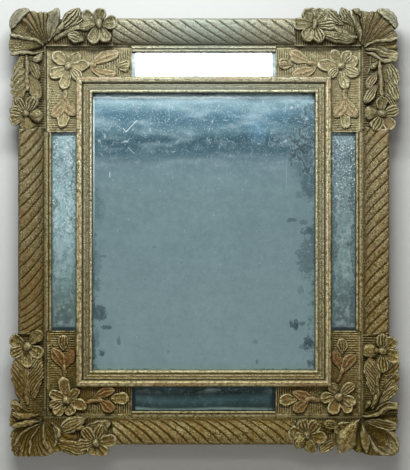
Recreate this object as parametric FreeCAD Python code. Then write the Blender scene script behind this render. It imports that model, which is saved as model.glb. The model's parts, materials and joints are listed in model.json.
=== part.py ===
import FreeCAD, Part
import math
import os
from FreeCAD import Vector

# Carved giltwood wall mirror: a main plate and four narrow border plates in one carved frame.
# Millimetres, +Z up, +X to the viewer's right, front towards -Y, wall plane at y = 0.
# Depth d is measured forward from the wall, so a point at depth d lies at y = -d.

# Driving dimensions: the bands of the frame, from the main plate outwards
sight_width = 314.0
sight_height = 391.0
inner_moulding_width = 22.5
border_width = 35.0
fillet_width = 10.0
gadroon_width = 35.0

# Depths of the layers
back_depth = 20.0            # back frame, from the wall forward
plank_depth = 8.0
plate_back = 12.0
plate_front = 16.0
panel_ground = 27.8
inner_lip_back = 28.0
outer_lip_back = 24.4
seat_depth = 36.0            # flat under the corner ornaments
crest_depth = 50.0           # top of the gadroon

# Plates
plate_overlap = 7.0          # main plate behind its moulding
glass_thickness = 3.0
border_tilt = math.radians(5.0)
border_overlap = 4.0         # border plate behind each lip
packing_edge = 0.8
fit_gap = 0.3
slip_width = 10.0
slip_gap = 0.5

# Inner moulding: distances from the sight edge, and depths of its faces
tongue_width = 8.0           # lies on the main plate
bead_foot = 14.0             # raised bead from here to the outer edge
bead_front = 36.0
quirk_foot = 12.5            # narrow quirk beside the bead
quirk_front = 31.0
step_foot = 6.5
step_front = 33.4
slope_front = 31.2           # sloping face down to the sight edge
sight_front = 30.4
arris = 1.0                  # softened edges

# Outer moulding: stepped fillet, then the gadroon
fillet_step = 4.5
fillet_low = 30.0
fillet_high = 31.5
crest_inset = 5.0            # crest line from the outer edge

# Gadroon: spacing of the cuts on each side, and how far they slant along the moulding
cut_pitch = {"top": 18.2, "right": 16.2, "bottom": 15.4, "left": 16.8}
cut_slant = {"top": 1.0, "right": 0.75, "bottom": 0.95, "left": 0.75}
cut_fall = 0.55
cut_width = 1.6
cut_depth = 2.2
cut_overrun = 4.0            # a cut's tool passes the moulding by this much
cut_spare = 4                # cuts begun before the first one that shows

# Corner pieces, measured from the outer corner of the mouldings
panel_edge = 38.5
panel_reach = 158.0
arm_across = 138.5           # seat length on the top and bottom mouldings
arm_down = 160.0             # seat length on the side mouldings

# Ground of a corner ornament, measured from the panel's outer corner
ground_start = 1.0
ground_edge = 36.0
ground_down = 116.0
ground_across = 95.0
ground_thickness = 5.5

# Carving
leaf_edge_drop = 4.0         # the rim of a leaf below its crown
leaf_crown = 0.6             # size of the crown, as a share of the leaf
petal_root = 2.5
petal_dip = 1.5              # a petal's root below the flower's face
petal_rise = 1.0             # and its tip above it
boss_radius = 5.5
ornament_petal = 9.5
ornament_face = 48.0
panel_petal = 7.5
panel_face = 32.0
relief_root = 24.0           # panel reliefs start inside the panel
relief_low = 31.0
relief_high = 33.0

# Joinery
key_leg = 46.0               # mitre key let into each corner
key_back = 25.0
key_front = 27.5
dowel_back = 29.0
dowel_front = 40.0
dowel_radius = 3.0
dowel_spots = ((19, -50), (19, -95), (-40, 19), (-75, 19))
peg_radius = 4.0
peg_step = 22.0

# Nails: length, shank radius, head radius
nail_head_depth = 1.5
plank_nail = (18.0, 1.2, 3.0)
outer_nail = (34.0, 1.5, 3.5)
inner_nail = (20.0, 1.4, 3.2)
panel_nail = (26.0, 1.5, 3.5)
plank_nail_shift = 38.0
plank_nail_height = 60.0
outer_nail_step = 100.0
inner_nail_share = 0.55      # of the half run
inner_nail_line = 14.5       # from the sight edge
panel_nail_spots = ((70, 135), (135, 70))

# Back frame
back_inset = 6.0
opening_gap = 9.0            # back frame opening beyond the sight edge
plank_rebate = 12.0
plank_lap = 6.0
plank_side_gap = 0.5
plank_joint_gap = 0.1
lap_depth = back_depth / 2

# Hanger and ring
ring_x = 212.0
ring_z = 165.0
ring_depth = 3.9
ring_wire = 2.0
ring_half = 12.0
ring_leg = 10.0
ring_bend = 3.0
knuckle_radius = 3.6
knuckle_bore = 2.1
knuckle_half = 7.0
hanger_front = 6.2
hanger_half = 9.0
hanger_height = 32.0
screw_heights = (13.0, 25.0)
screw_depth = 17.0
screw_radius = 1.7
pocket_half = 18.0
pocket_below = 28.0
pocket_above = 36.0

# Worked out from these
frame_band = inner_moulding_width + border_width + fillet_width + gadroon_width
half_sight_x = sight_width / 2
half_sight_z = sight_height / 2
half_outer_x = half_sight_x + frame_band
half_outer_z = half_sight_z + frame_band
far_x = half_outer_x - panel_edge        # outer corner of the top right panel
far_z = half_outer_z - panel_edge

# Each side of the frame is made as the top one and turned about Y: turn, half run, rise of the sight edge
sides = {
    "top": (0, half_sight_x, half_sight_z),
    "right": (90, half_sight_z, half_sight_x),
    "bottom": (180, half_sight_x, half_sight_z),
    "left": (270, half_sight_z, half_sight_x),
}
corners = {"top_left": (-1, 1), "top_right": (1, 1), "bottom_left": (-1, -1), "bottom_right": (1, -1)}


def block(x0, x1, d0, d1, z0, z1):
    return Part.makeBox(x1 - x0, d1 - d0, z1 - z0, Vector(x0, -d1, z0))


def round_bar(x, z, d0, d1, radius):
    return Part.makeCylinder(radius, d1 - d0, Vector(x, -d0, z), Vector(0, -1, 0))


def plate_of(points, d0, d1):
    # Polygon of (x, z) points, as thick as from depth d0 to d1
    loop = [Vector(x, -d0, z) for x, z in points]
    return Part.Face(Part.makePolygon(loop + loop[:1])).extrude(Vector(0, d0 - d1, 0))


def nail(x, z, start, size):
    length, shank, head = size
    top = round_bar(x, z, start, start + nail_head_depth, head)
    return round_bar(x, z, start, start + length, shank).fuse(top)


def turned(shape, angle):
    return shape.copy().rotate(Vector(0, 0, 0), Vector(0, 1, 0), angle)


def mitred(face, run, rise, inner, outer, front):
    # Section face swept along X and cut to 45 degree mitres between offsets inner and outer
    reach = run + outer
    bar = face.extrude(Vector(2 * reach, 0, 0))
    bar.translate(Vector(-reach, 0, 0))
    ends = [(-run - inner, rise + inner), (run + inner, rise + inner),
            (run + outer, rise + outer), (-run - outer, rise + outer)]
    return bar.common(plate_of(ends, 0, front + 1))


def section(points, rise):
    # Closed section of (offset from the sight edge, depth) points, standing in the plane x = 0
    loop = [Vector(0, -d, rise + t) for t, d in points]
    return Part.Face(Part.makePolygon(loop + loop[:1]))


def gadroon_edges(rise, inset):
    # Quarter ellipse from the fillet up to the crest, then a quarter circle over the outer edge
    wide = gadroon_width - crest_inset - inset
    high = crest_depth - fillet_high - inset
    crest_t = frame_band - crest_inset
    centre = Vector(0, -fillet_high, rise + crest_t)
    hollow_end = centre + Vector(0, 0, -wide)
    crest = centre + Vector(0, -high, 0)
    nose = crest_inset - inset
    nose_centre = Vector(0, -(crest_depth - crest_inset), rise + crest_t)
    nose_mid = nose_centre + Vector(0, -nose, nose) * math.sqrt(0.5)
    outer = nose_centre + Vector(0, 0, nose)
    foot_outer = Vector(0, -fillet_high, rise + crest_t + nose)
    quarter = Part.ArcOfEllipse(Part.Ellipse(hollow_end, crest, centre), 0, math.pi / 2).toShape()
    over = Part.Arc(crest, nose_mid, outer).toShape()
    return [quarter, over], hollow_end, outer, foot_outer


def gadroon_band(rise):
    # The skin of the gadroon, as deep as its cuts
    skins = []
    for inset in (0.0, cut_depth):
        curves, start, end, foot = gadroon_edges(rise, inset)
        lines = [Part.makeLine(end, foot), Part.makeLine(foot, start)]
        skins.append(Part.Face(Part.Wire(curves + lines)))
    return skins[0].cut(skins[1])


def seat_length(side):
    return arm_across if side in ("top", "bottom") else arm_down


def gadroon_cuts(side, run, rise):
    # Slanting saw kerfs, kept to the depth of the skin, between the two corner seats
    clear = run + frame_band - seat_length(side)
    pitch = cut_pitch[side]
    slant = cut_slant[side]
    low = fillet_low - cut_overrun
    high = crest_depth + cut_overrun
    wide = gadroon_width + cut_overrun
    kerfs = []
    for number in range(-cut_spare, int(2 * clear / pitch) + 1):
        start = -clear + pitch * number
        loop = []
        for inward, depth in ((-cut_overrun, low), (-cut_overrun, high), (wide, high), (wide, low)):
            along = start + slant * inward + cut_fall * (crest_depth - depth)
            loop.append(Vector(along, -depth, rise + frame_band - inward))
        kerfs.append(Part.Face(Part.makePolygon(loop + loop[:1])).extrude(Vector(cut_width, 0, 0)))
    band = gadroon_band(rise).extrude(Vector(2 * clear, 0, 0))
    band.translate(Vector(-clear, 0, 0))
    return band.common(Part.Compound(kerfs))


def outer_moulding(side):
    turn, run, rise = sides[side]
    lip = frame_band - gadroon_width - fillet_width
    step = lip + fillet_step
    foot = frame_band - gadroon_width
    curves, _, end, _ = gadroon_edges(rise, 0.0)
    outline = [(frame_band, back_depth), (lip + border_overlap, back_depth),
               (lip + border_overlap, outer_lip_back), (lip, outer_lip_back), (lip, fillet_low),
               (step, fillet_low), (step, fillet_high), (foot, fillet_high)]
    points = [Vector(0, -d, rise + t) for t, d in outline]
    lines = [Part.makeLine(a, b) for a, b in zip(points, points[1:])]
    lines.append(Part.makeLine(end, points[0]))
    face = Part.Face(Part.Wire(Part.__sortEdges__(lines + curves)))
    bar = mitred(face, run, rise, lip, frame_band, crest_depth)
    end_x = run + frame_band
    for sign in (-1, 1):
        spans = sorted((sign * end_x, sign * (end_x - seat_length(side))))
        bar = bar.cut(block(spans[0], spans[1], seat_depth, crest_depth + 1, rise, rise + frame_band))
    carved = bar.cut(gadroon_cuts(side, run, rise))
    whole = max(carved.Solids, key=lambda solid: solid.Volume)     # a chip at a seat falls away
    return turned(whole, turn)


def inner_moulding(side):
    turn, run, rise = sides[side]
    width = inner_moulding_width
    seat = width - border_overlap
    outline = [(0, plate_front), (tongue_width, plate_front), (tongue_width, back_depth), (seat, back_depth),
               (seat, inner_lip_back), (width, inner_lip_back), (width, bead_front - arris),
               (width - arris, bead_front), (bead_foot + arris, bead_front), (bead_foot, bead_front - arris),
               (bead_foot, quirk_front), (quirk_foot, quirk_front), (quirk_foot, step_front - arris),
               (quirk_foot - arris, step_front), (step_foot + arris, step_front),
               (step_foot, step_front - arris), (step_foot, slope_front),
               (arris, sight_front), (0, sight_front - arris)]
    return turned(mitred(section(outline, rise), run, rise, 0, width, bead_front), turn)


def border_layers(side):
    # A wedge of packing and the tilted border plate that lies on it
    turn, run, rise = sides[side]
    inner = inner_moulding_width - border_overlap
    outer = inner + border_width + 2 * border_overlap
    half = run + frame_band - panel_reach - fit_gap
    slope = math.tan(border_tilt)
    low = back_depth + packing_edge
    high = low + (outer - inner) * slope
    lift = glass_thickness / math.cos(border_tilt)
    edge = 0.2
    wedge = [(inner, back_depth), (outer, back_depth), (outer, low), (inner, high)]
    glass = [(inner + edge, high - edge * slope), (outer - edge, low + edge * slope),
             (outer - edge, low + edge * slope + lift), (inner + edge, high - edge * slope + lift)]
    layers = []
    for outline in (wedge, glass):
        bar = section(outline, rise).extrude(Vector(2 * half, 0, 0))
        bar.translate(Vector(-half, 0, 0))
        layers.append(turned(bar, turn))
    return layers


def leaf_outline(root, tip, half_width, bulge, bend, blunt):
    # Closed leaf curve: widest at the fraction bulge of its length, its middle pushed aside by bend,
    # and the rounder at its tip the smaller blunt is
    along = Vector(tip[0] - root[0], 0, tip[1] - root[1])
    across = Vector(-along.z, 0, along.x)
    across.normalize()
    power = math.log(0.5) / math.log(bulge)
    stations = (0.06, 0.3, 0.6, 0.84, 0.96)
    middle = {}
    for u in (0.0, 1.0) + stations:
        middle[u] = Vector(root[0], 0, root[1]) + along * u + across * (4 * bend * u * (1 - u))
    width = {u: half_width * math.sin(math.pi * u ** power) ** blunt for u in stations}
    right = [middle[u] - across * width[u] for u in stations]
    left = [middle[u] + across * width[u] for u in reversed(stations)]
    return [middle[0.0]] + right + [middle[1.0]] + left


def carved_leaf(root, tip, half_width, base, root_depth, tip_depth, bulge=0.62, bend=0.0, blunt=0.6):
    # Leaf standing on depth base, with upright sides and a bevelled top that slopes from root to tip
    outline = leaf_outline(root, tip, half_width, bulge, bend, blunt)
    origin = Vector(root[0], 0, root[1])
    along = Vector(tip[0] - root[0], 0, tip[1] - root[1])
    centre = origin + along * 0.5
    wires = []
    for scale, drop in ((1.0, None), (1.0, leaf_edge_drop), (leaf_crown, 0.0)):
        ring = []
        for point in outline:
            place = centre + (point - centre) * scale
            share = (place - origin).dot(along) / along.dot(along)
            depth = base if drop is None else root_depth + (tip_depth - root_depth) * share - drop
            ring.append(Vector(place.x, -depth, place.z))
        curve = Part.BSplineCurve()
        curve.interpolate(Points=ring, PeriodicFlag=True)
        wires.append(Part.Wire(curve.toShape()))
    return Part.makeLoft(wires, True, True)


def carved_flower(centre, petal_half, base, face, petals_at):
    # Petals, each with its angle and reach, round a domed boss
    petals = []
    for angle, reach in petals_at:
        turn = math.radians(angle)
        inner, outer = [(centre[0] + distance * math.cos(turn), centre[1] + distance * math.sin(turn))
                        for distance in (petal_root, reach)]
        petals.append(carved_leaf(inner, outer, petal_half, base, face - petal_dip, face + petal_rise,
                                  bulge=0.68, blunt=0.5))
    post = round_bar(centre[0], centre[1], base, face, boss_radius)
    dome = Part.makeSphere(boss_radius, Vector(centre[0], -face, centre[1]))
    return petals + [post.fuse(dome)]


# Lobes of a corner ornament: root, tip, half width, depth at root and tip, bend.
# p runs outwards from the panel's corner across the side moulding, q outwards across the top moulding.
fan_lobes = [
    ((4, 4), (50.5, 52.5), 14.0, 46, 61, 0),
    ((2, 2), (52, 19), 9.5, 44, 55, 2),
    ((1, -1), (51, -4), 10.0, 44, 53, 2),
    ((6, -5), (23, -24), 6.0, 45, 50, -3),
    ((2, 2), (18, 51), 8.5, 44, 55, -2),
    ((1, 3), (1, 50), 7.5, 44, 53, 0),
    ((-2, 3), (-17, 53), 8.5, 44, 55, -2),
    ((-8, 8), (-23, 30), 5.5, 45, 50, 3),
]
spray_down = [
    ((25, -12), (25, -72), 3.0, 48, 49, 0),
    ((27, -18), (48, -36), 6.5, 46, 48, -4),
    ((27, -32), (49, -53), 6.5, 46, 48, -4),
    ((27, -48), (48, -70), 6.5, 46, 48, -4),
    ((23, -24), (5, -46), 6.5, 46, 48, 4),
    ((23, -44), (3, -68), 6.5, 46, 48, 4),
]
spray_across = [
    ((-14, 14), (-56, 24), 3.0, 48, 49, 0),
    ((-22, 20), (-44, 50), 8.5, 45, 49, 4),
    ((-42, 24), (-60, 50), 7.0, 45, 48, 4),
    ((-28, 16), (-54, 7), 5.5, 45, 48, -3),
]
flower_down = ((27, -93), ((190, 23), (350, 23), (270, 27), (128, 21), (52, 22)))
flower_across = ((-73, 29), ((92, 24), (170, 26), (232, 24), (300, 24), (20, 22)))

# Reliefs of a corner panel: r and s run inwards from its outer corner.
# A leaf has its root, tip, half width and bend.
panel_flower = ((28, 27), ((45, 27), (125, 27), (182, 29), (235, 18), (275, 29), (335, 27)))
panel_leaves = [
    ((25, 55), (25, 78), 3.0, 0),
    ((24, 70), (7, 95), 6.0, 4),
    ((26, 70), (36.5, 95), 6.0, -4),
    ((22, 84), (22, 114), 7.5, 0),
    ((55, 26), (74, 26), 3.0, 0),
    ((66, 27), (100, 36.5), 6.0, 4),
    ((66, 24), (98, 7), 6.0, -4),
    ((92, 22), (116, 22), 7.5, 0),
]


def at_corner(shape, corner):
    # From the top right corner to any other, by mirroring
    sign_x, sign_z = corners[corner]
    placed = shape.copy()
    if sign_x < 0:
        placed = placed.mirror(Vector(0, 0, 0), Vector(1, 0, 0))
    if sign_z < 0:
        placed = placed.mirror(Vector(0, 0, 0), Vector(0, 0, 1))
    return placed


def fused(solids):
    whole = solids[0]
    for solid in solids[1:]:
        whole = whole.fuse(solid)
    return whole.removeSplitter()


def panel_loop():
    # L-shaped outline of the top right panel, under the lips of the inner moulding
    near_x = half_sight_x + inner_moulding_width - border_overlap
    near_z = half_sight_z + inner_moulding_width - border_overlap
    end_x = half_outer_x - panel_reach
    end_z = half_outer_z - panel_reach
    return [(far_x, far_z), (end_x, far_z), (end_x, near_z),
            (near_x, near_z), (near_x, end_z), (far_x, end_z)]


def corner_panel():
    ground = plate_of(panel_loop(), back_depth, panel_ground)
    (r, s), petals_at = panel_flower
    reliefs = carved_flower((far_x - r, far_z - s), panel_petal, relief_root, panel_face, petals_at)
    for root, tip, half_width, bend in panel_leaves:
        start = (far_x - root[0], far_z - root[1])
        end = (far_x - tip[0], far_z - tip[1])
        reliefs.append(carved_leaf(start, end, half_width, relief_root, relief_low, relief_high, bend=bend))
    return fused([ground] + reliefs)


def corner_ornament():
    ground = [(ground_start, ground_start), (ground_start, -ground_down), (ground_edge, -ground_down),
              (ground_edge, ground_edge), (-ground_across, ground_edge), (-ground_across, ground_start)]
    loop = [(far_x + p, far_z + q) for p, q in ground]
    pieces = [plate_of(loop, seat_depth, seat_depth + ground_thickness)]
    for leaves, bulge, blunt in ((fan_lobes, 0.7, 0.5), (spray_down + spray_across, 0.6, 0.6)):
        for root, tip, half_width, low, high, bend in leaves:
            start = (far_x + root[0], far_z + root[1])
            end = (far_x + tip[0], far_z + tip[1])
            pieces.append(carved_leaf(start, end, half_width, seat_depth, low, high, bulge, bend, blunt))
    for (p, q), petals_at in (flower_down, flower_across):
        pieces += carved_flower((far_x + p, far_z + q), ornament_petal, seat_depth, ornament_face, petals_at)
    return fused(pieces)


def mitre_key():
    loop = [(half_outer_x, half_outer_z), (half_outer_x - key_leg, half_outer_z),
            (half_outer_x, half_outer_z - key_leg)]
    return plate_of(loop, key_back, key_front)


def ornament_dowels():
    return [round_bar(far_x + p, far_z + q, dowel_back, dowel_front, dowel_radius) for p, q in dowel_spots]


def back_frame():
    # Two stiles and two rails, half-lapped at the corners and rebated for the planks
    outer_x = half_outer_x - back_inset
    outer_z = half_outer_z - back_inset
    open_x = half_sight_x + opening_gap
    open_z = half_sight_z + opening_gap
    planks = block(-open_x - plank_rebate, open_x + plank_rebate, 0, plank_depth,
                   -open_z - plank_rebate, open_z + plank_rebate)
    frame = {}
    for name, sign in (("left", -1), ("right", 1)):
        x0, x1 = sorted((sign * outer_x, sign * open_x))
        stile = block(x0, x1, 0, back_depth, -outer_z, outer_z)
        stile = stile.cut(block(x0, x1, lap_depth, back_depth, open_z, outer_z))
        stile = stile.cut(block(x0, x1, lap_depth, back_depth, -outer_z, -open_z))
        pocket_x = sign * ring_x
        stile = stile.cut(block(pocket_x - pocket_half, pocket_x + pocket_half, 0, plank_depth,
                                ring_z - pocket_below, ring_z + pocket_above))
        frame["back_stile_" + name] = stile.cut(planks)
    for name, sign in (("bottom", -1), ("top", 1)):
        z0, z1 = sorted((sign * outer_z, sign * open_z))
        rail = block(-outer_x, outer_x, 0, back_depth, z0, z1)
        rail = rail.cut(block(-outer_x, -open_x, 0, lap_depth, z0, z1))
        rail = rail.cut(block(open_x, outer_x, 0, lap_depth, z0, z1))
        frame["back_rail_" + name] = rail.cut(planks)
    return frame


def frame_pegs():
    mid_x = (half_outer_x - back_inset + half_sight_x + opening_gap) / 2
    mid_z = (half_outer_z - back_inset + half_sight_z + opening_gap) / 2
    pegs = []
    for sign_x, sign_z in corners.values():
        for shift in (-peg_step, peg_step):
            x, z = sign_x * (mid_x + shift), sign_z * (mid_z - shift)
            pegs.append(round_bar(x, z, 0, back_depth, peg_radius))
    return pegs


def back_planks():
    # Three upright planks, the middle one lapped over the edges of the other two
    half_x = half_sight_x + opening_gap + plank_rebate - plank_side_gap
    half_z = half_sight_z + opening_gap + plank_rebate - plank_side_gap
    joint = half_x / 3
    half = plank_depth / 2
    gap = plank_joint_gap
    middle = block(-joint + gap, joint - gap, 0, half, -half_z, half_z)
    tongue = joint - plank_lap - gap
    middle = middle.fuse(block(-tongue, tongue, half, plank_depth, -half_z, half_z)).removeSplitter()
    side = block(joint + gap, half_x, 0, half, -half_z, half_z)
    side = side.fuse(block(joint - plank_lap + gap, half_x, half, plank_depth, -half_z, half_z))
    side = side.removeSplitter()
    other = side.mirror(Vector(0, 0, 0), Vector(1, 0, 0))
    return {"back_plank_left": other, "back_plank_middle": middle, "back_plank_right": side}


def plate_slips():
    # Thin strips that keep the main plate off the planks
    x = half_sight_x + plate_overlap - slip_gap
    z = half_sight_z + plate_overlap - slip_gap
    short = z - slip_width
    return {
        "plate_slip_top": block(-x, x, plank_depth, plate_back, short, z),
        "plate_slip_bottom": block(-x, x, plank_depth, plate_back, -z, -short),
        "plate_slip_left": block(-x, slip_width - x, plank_depth, plate_back, -short, short),
        "plate_slip_right": block(x - slip_width, x, plank_depth, plate_back, -short, short),
    }


def plank_nails():
    edge_x = half_sight_x + opening_gap + plank_rebate / 2
    edge_z = half_sight_z + opening_gap + plank_rebate / 2
    pitch = (half_sight_x + opening_gap + plank_rebate) * 2 / 3
    spots = []
    for plank in (-1, 0, 1):
        for shift in (-plank_nail_shift, plank_nail_shift):
            spots += [(plank * pitch + shift, z) for z in (-edge_z, edge_z)]
    spots += [(x, z) for x in (-edge_x, edge_x) for z in (-plank_nail_height, plank_nail_height)]
    return [nail(x, z, 0, plank_nail) for x, z in spots]


def moulding_nails():
    # Driven from behind through the back frame, before the planks go on
    nails = []
    for turn, run, rise in sides.values():
        line = rise + frame_band - gadroon_width / 2
        for x in (-outer_nail_step, 0, outer_nail_step):
            nails.append(turned(nail(x, line, 0, outer_nail), turn))
        for x in (-inner_nail_share * run, inner_nail_share * run):
            nails.append(turned(nail(x, rise + inner_nail_line, plank_depth, inner_nail), turn))
    for sign_x, sign_z in corners.values():
        for across, down in panel_nail_spots:
            x, z = sign_x * (half_outer_x - across), sign_z * (half_outer_z - down)
            nails.append(nail(x, z, 0, panel_nail))
    return nails


def hanger_plate(sign):
    x = sign * ring_x
    strap = block(x - hanger_half, x + hanger_half, hanger_front, plank_depth, ring_z, ring_z + hanger_height)
    axis = Vector(1, 0, 0)
    left_end = Vector(x - knuckle_half, -ring_depth, ring_z)
    knuckle = Part.makeCylinder(knuckle_radius, 2 * knuckle_half, left_end, axis)
    bore = Part.makeCylinder(knuckle_bore, 4 * knuckle_half, left_end - axis * knuckle_half, axis)
    return strap.fuse(knuckle).cut(bore).removeSplitter()


def hanger_screws(sign):
    # Countersunk heads flush with the hanger's face
    x = sign * ring_x
    screws = []
    for height in screw_heights:
        z = ring_z + height
        shank = round_bar(x, z, hanger_front, screw_depth, screw_radius)
        head = Part.makeCone(2 * screw_radius, screw_radius, plank_depth - hanger_front,
                             Vector(x, -hanger_front, z), Vector(0, -1, 0))
        screws.append(shank.fuse(head).removeSplitter())
    return screws


def hanging_ring(sign):
    # D-shaped wire: a straight bar on the hinge axis, two legs and a round bow, hanging down
    x = sign * ring_x
    bar = ring_half - ring_bend
    turn = ring_bend * (1 - math.sqrt(0.5))

    def spot(across, down):
        return Vector(x + across, -ring_depth, ring_z - down)

    path = Part.Wire([
        Part.makeLine(spot(-bar, 0), spot(bar, 0)),
        Part.Arc(spot(bar, 0), spot(ring_half - turn, turn), spot(ring_half, ring_bend)).toShape(),
        Part.makeLine(spot(ring_half, ring_bend), spot(ring_half, ring_leg)),
        Part.Arc(spot(ring_half, ring_leg), spot(0, ring_leg + ring_half),
                 spot(-ring_half, ring_leg)).toShape(),
        Part.makeLine(spot(-ring_half, ring_leg), spot(-ring_half, ring_bend)),
        Part.Arc(spot(-ring_half, ring_bend), spot(turn - ring_half, turn), spot(-bar, 0)).toShape(),
    ])
    profile = Part.Wire(Part.makeCircle(ring_wire, spot(-bar, 0), Vector(1, 0, 0)))
    return path.makePipeShell([profile], True, False)


def main_plate():
    x = half_sight_x + plate_overlap
    z = half_sight_z + plate_overlap
    return block(-x, x, plate_back, plate_front, -z, z)


def build():
    nodes = back_frame()
    for side in sides:
        nodes["outer_moulding_" + side] = outer_moulding(side)
        nodes["inner_moulding_" + side] = inner_moulding(side)
        nodes["border_packing_" + side], nodes["border_plate_" + side] = border_layers(side)
    panel = corner_panel()
    ornament = corner_ornament()
    dowels = ornament_dowels()
    key = mitre_key()
    clearing = plate_of(panel_loop(), back_depth, crest_depth)
    groups = {"frame_pegs": frame_pegs(), "plank_nails": plank_nails(), "moulding_nails": moulding_nails(),
              "mitre_keys": [], "ornament_dowels": [], "hanger_screws": []}
    for corner in corners:
        nodes["corner_panel_" + corner] = at_corner(panel, corner)
        nodes["corner_ornament_" + corner] = at_corner(ornament, corner)
        groups["mitre_keys"].append(at_corner(key, corner))
        groups["ornament_dowels"] += [at_corner(dowel, corner) for dowel in dowels]
        hole = at_corner(clearing, corner)
        for side in corner.split("_"):
            nodes["outer_moulding_" + side] = nodes["outer_moulding_" + side].cut(hole)
    nodes["main_plate"] = main_plate()
    nodes.update(plate_slips())
    nodes.update(back_planks())
    for name, sign in (("left", -1), ("right", 1)):
        nodes["hanger_plate_" + name] = hanger_plate(sign)
        nodes["hanging_ring_" + name] = hanging_ring(sign)
        groups["hanger_screws"] += hanger_screws(sign)
    # Every fastener has its own hole in the pieces that it passes through
    drilled = ("back_", "outer_", "inner_", "corner_", "hanger_plate")
    for name in [node for node in nodes if node.startswith(drilled)]:
        for solids in groups.values():
            near = [solid for solid in solids if solid.BoundBox.intersect(nodes[name].BoundBox)]
            if near:
                nodes[name] = nodes[name].cut(near)
    for name, solids in groups.items():
        nodes[name] = Part.Compound(solids)
    return nodes


os.makedirs("parts", exist_ok=True)
for node, shape in build().items():
    shape.exportStep("parts/" + node + ".step")
    print(node, len(shape.Solids), shape.isValid(), round(shape.Volume))
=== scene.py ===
import json
import math
from functools import partial

import bmesh
import bpy
import numpy as np
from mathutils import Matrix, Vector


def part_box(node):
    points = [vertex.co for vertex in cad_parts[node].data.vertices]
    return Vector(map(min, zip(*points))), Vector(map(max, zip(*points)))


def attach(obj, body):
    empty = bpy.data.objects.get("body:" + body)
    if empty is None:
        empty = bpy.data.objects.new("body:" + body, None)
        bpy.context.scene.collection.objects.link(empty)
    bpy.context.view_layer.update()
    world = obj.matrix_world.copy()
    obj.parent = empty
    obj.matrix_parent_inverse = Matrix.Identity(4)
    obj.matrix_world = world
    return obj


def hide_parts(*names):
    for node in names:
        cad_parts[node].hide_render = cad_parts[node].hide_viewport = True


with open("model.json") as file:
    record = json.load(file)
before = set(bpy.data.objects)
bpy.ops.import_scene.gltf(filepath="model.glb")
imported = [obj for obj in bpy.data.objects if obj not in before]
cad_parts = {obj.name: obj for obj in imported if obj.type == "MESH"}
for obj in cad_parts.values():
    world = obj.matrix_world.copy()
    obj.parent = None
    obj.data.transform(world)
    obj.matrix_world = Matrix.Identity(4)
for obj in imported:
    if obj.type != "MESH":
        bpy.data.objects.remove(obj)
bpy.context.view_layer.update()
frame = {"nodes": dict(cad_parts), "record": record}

scene = bpy.context.scene
cadNodes = frame["nodes"]
print("frame loaded:", len(cadNodes), "nodes")


# Sizes in millimetres, read from the frame. Depth runs forward from the wall, so y = -depth.
def spanOf(node):
    low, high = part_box(node)
    return np.array(low) * 1000, np.array(high) * 1000


topInnerLow, topInnerHigh = spanOf("inner_moulding_top")
rightInnerLow = spanOf("inner_moulding_right")[0]
topOuterHigh = spanOf("outer_moulding_top")[1]
rightOuterHigh = spanOf("outer_moulding_right")[1]
cornerPanelLow, cornerPanelHigh = spanOf("corner_panel_top_right")
sightX, sightZ = rightInnerLow[0], topInnerLow[2]            # half width and half height of the main plate
innerWidth = topInnerHigh[2] - topInnerLow[2]
frameBand = topOuterHigh[2] - topInnerLow[2]
outerX, outerZ = rightOuterHigh[0], topOuterHigh[2]
farX, farZ = cornerPanelHigh[0], cornerPanelHigh[2]          # outer corner of the top right panel
panelLength = farX - cornerPanelLow[0]
panelWidth = farX - (sightX + innerWidth) + 4                # its inner edge lies under a lip
seatDepth = -spanOf("corner_ornament_top_right")[1][1]       # flat that carries the ornaments

# Each side is worked out as the top one, then turned: turn, half run, rise of the sight edge
sides = {"top": (0, sightX, sightZ), "right": (90, sightZ, sightX),
         "bottom": (180, sightX, sightZ), "left": (270, sightZ, sightX)}
corners = {"top_left": (-1, 1), "top_right": (1, 1), "bottom_left": (-1, -1), "bottom_right": (1, -1)}


def onSide(side, along, offset, depth):
    # Point of a side: along it, outwards from the sight edge, forward from the wall
    turn, run, rise = sides[side]
    c, s = math.cos(math.radians(turn)), math.sin(math.radians(turn))
    x, z = along, rise + offset
    return np.stack(np.broadcast_arrays(x * c + z * s, -depth, z * c - x * s), -1)


def atCorner(corner, p, q, depth):
    # Point near a corner: p and q run outwards from the panel's corner, across and up or down
    signX, signZ = corners[corner]
    return np.stack(np.broadcast_arrays(signX * (farX + p), -depth, signZ * (farZ + q)), -1)


def softLimit(value, start, limit):
    # Leaves small values alone and bends larger ones so that they never pass the limit
    over = np.maximum(value - start, 0) / (limit - start)
    return np.where(value > start, start + (limit - start) * np.tanh(over), value)


# Colours and nodes. Kinds of node under plain names: type, sockets that a call fills in turn, socket that
# it gives, fixed settings.
nodeKinds = {
    "place": ("TexCoord", (), "Object", {}),
    "axes": ("SeparateXYZ", (0,), "Z", {}),
    "mapped": ("Mapping", ("Vector", "Location", "Scale"), 0, {}),
    "noise": ("TexNoise", ("Vector", "Scale", "Detail", "Roughness"), "Fac", {}),
    "cells": ("TexVoronoi", ("Vector", "Scale"), "Distance", {}),
    "mark": ("Attribute", (), "Fac", {}),
    "geometry": ("NewGeometry", (), "Pointiness", {}),
    "openness": ("AmbientOcclusion", ("Distance",), "AO", {"samples": 6}),
    "bands": ("ValToRGB", ("Fac",), "Color", {}),
    "ramp": ("MapRange", range(5), 0, {}),
    "mix": ("Mix", (0, 6, 7), 2, {"data_type": "RGBA"}),
    "bump": ("Bump", ("Strength", "Distance", "Height", "Normal"), 0, {}),
    "unseen": ("BsdfTransparent", (), 0, {}),
    "either": ("MixShader", range(3), 0, {}),
}
sums = {"plus": "ADD", "minus": "SUBTRACT", "times": "MULTIPLY", "over": "DIVIDE", "power": "POWER",
        "larger": "MAXIMUM", "smaller": "MINIMUM", "unsigned": "ABSOLUTE"}
for sumName, operation in sums.items():
    nodeKinds[sumName] = ("Math", (0, 1), 0, {"operation": operation})


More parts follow.
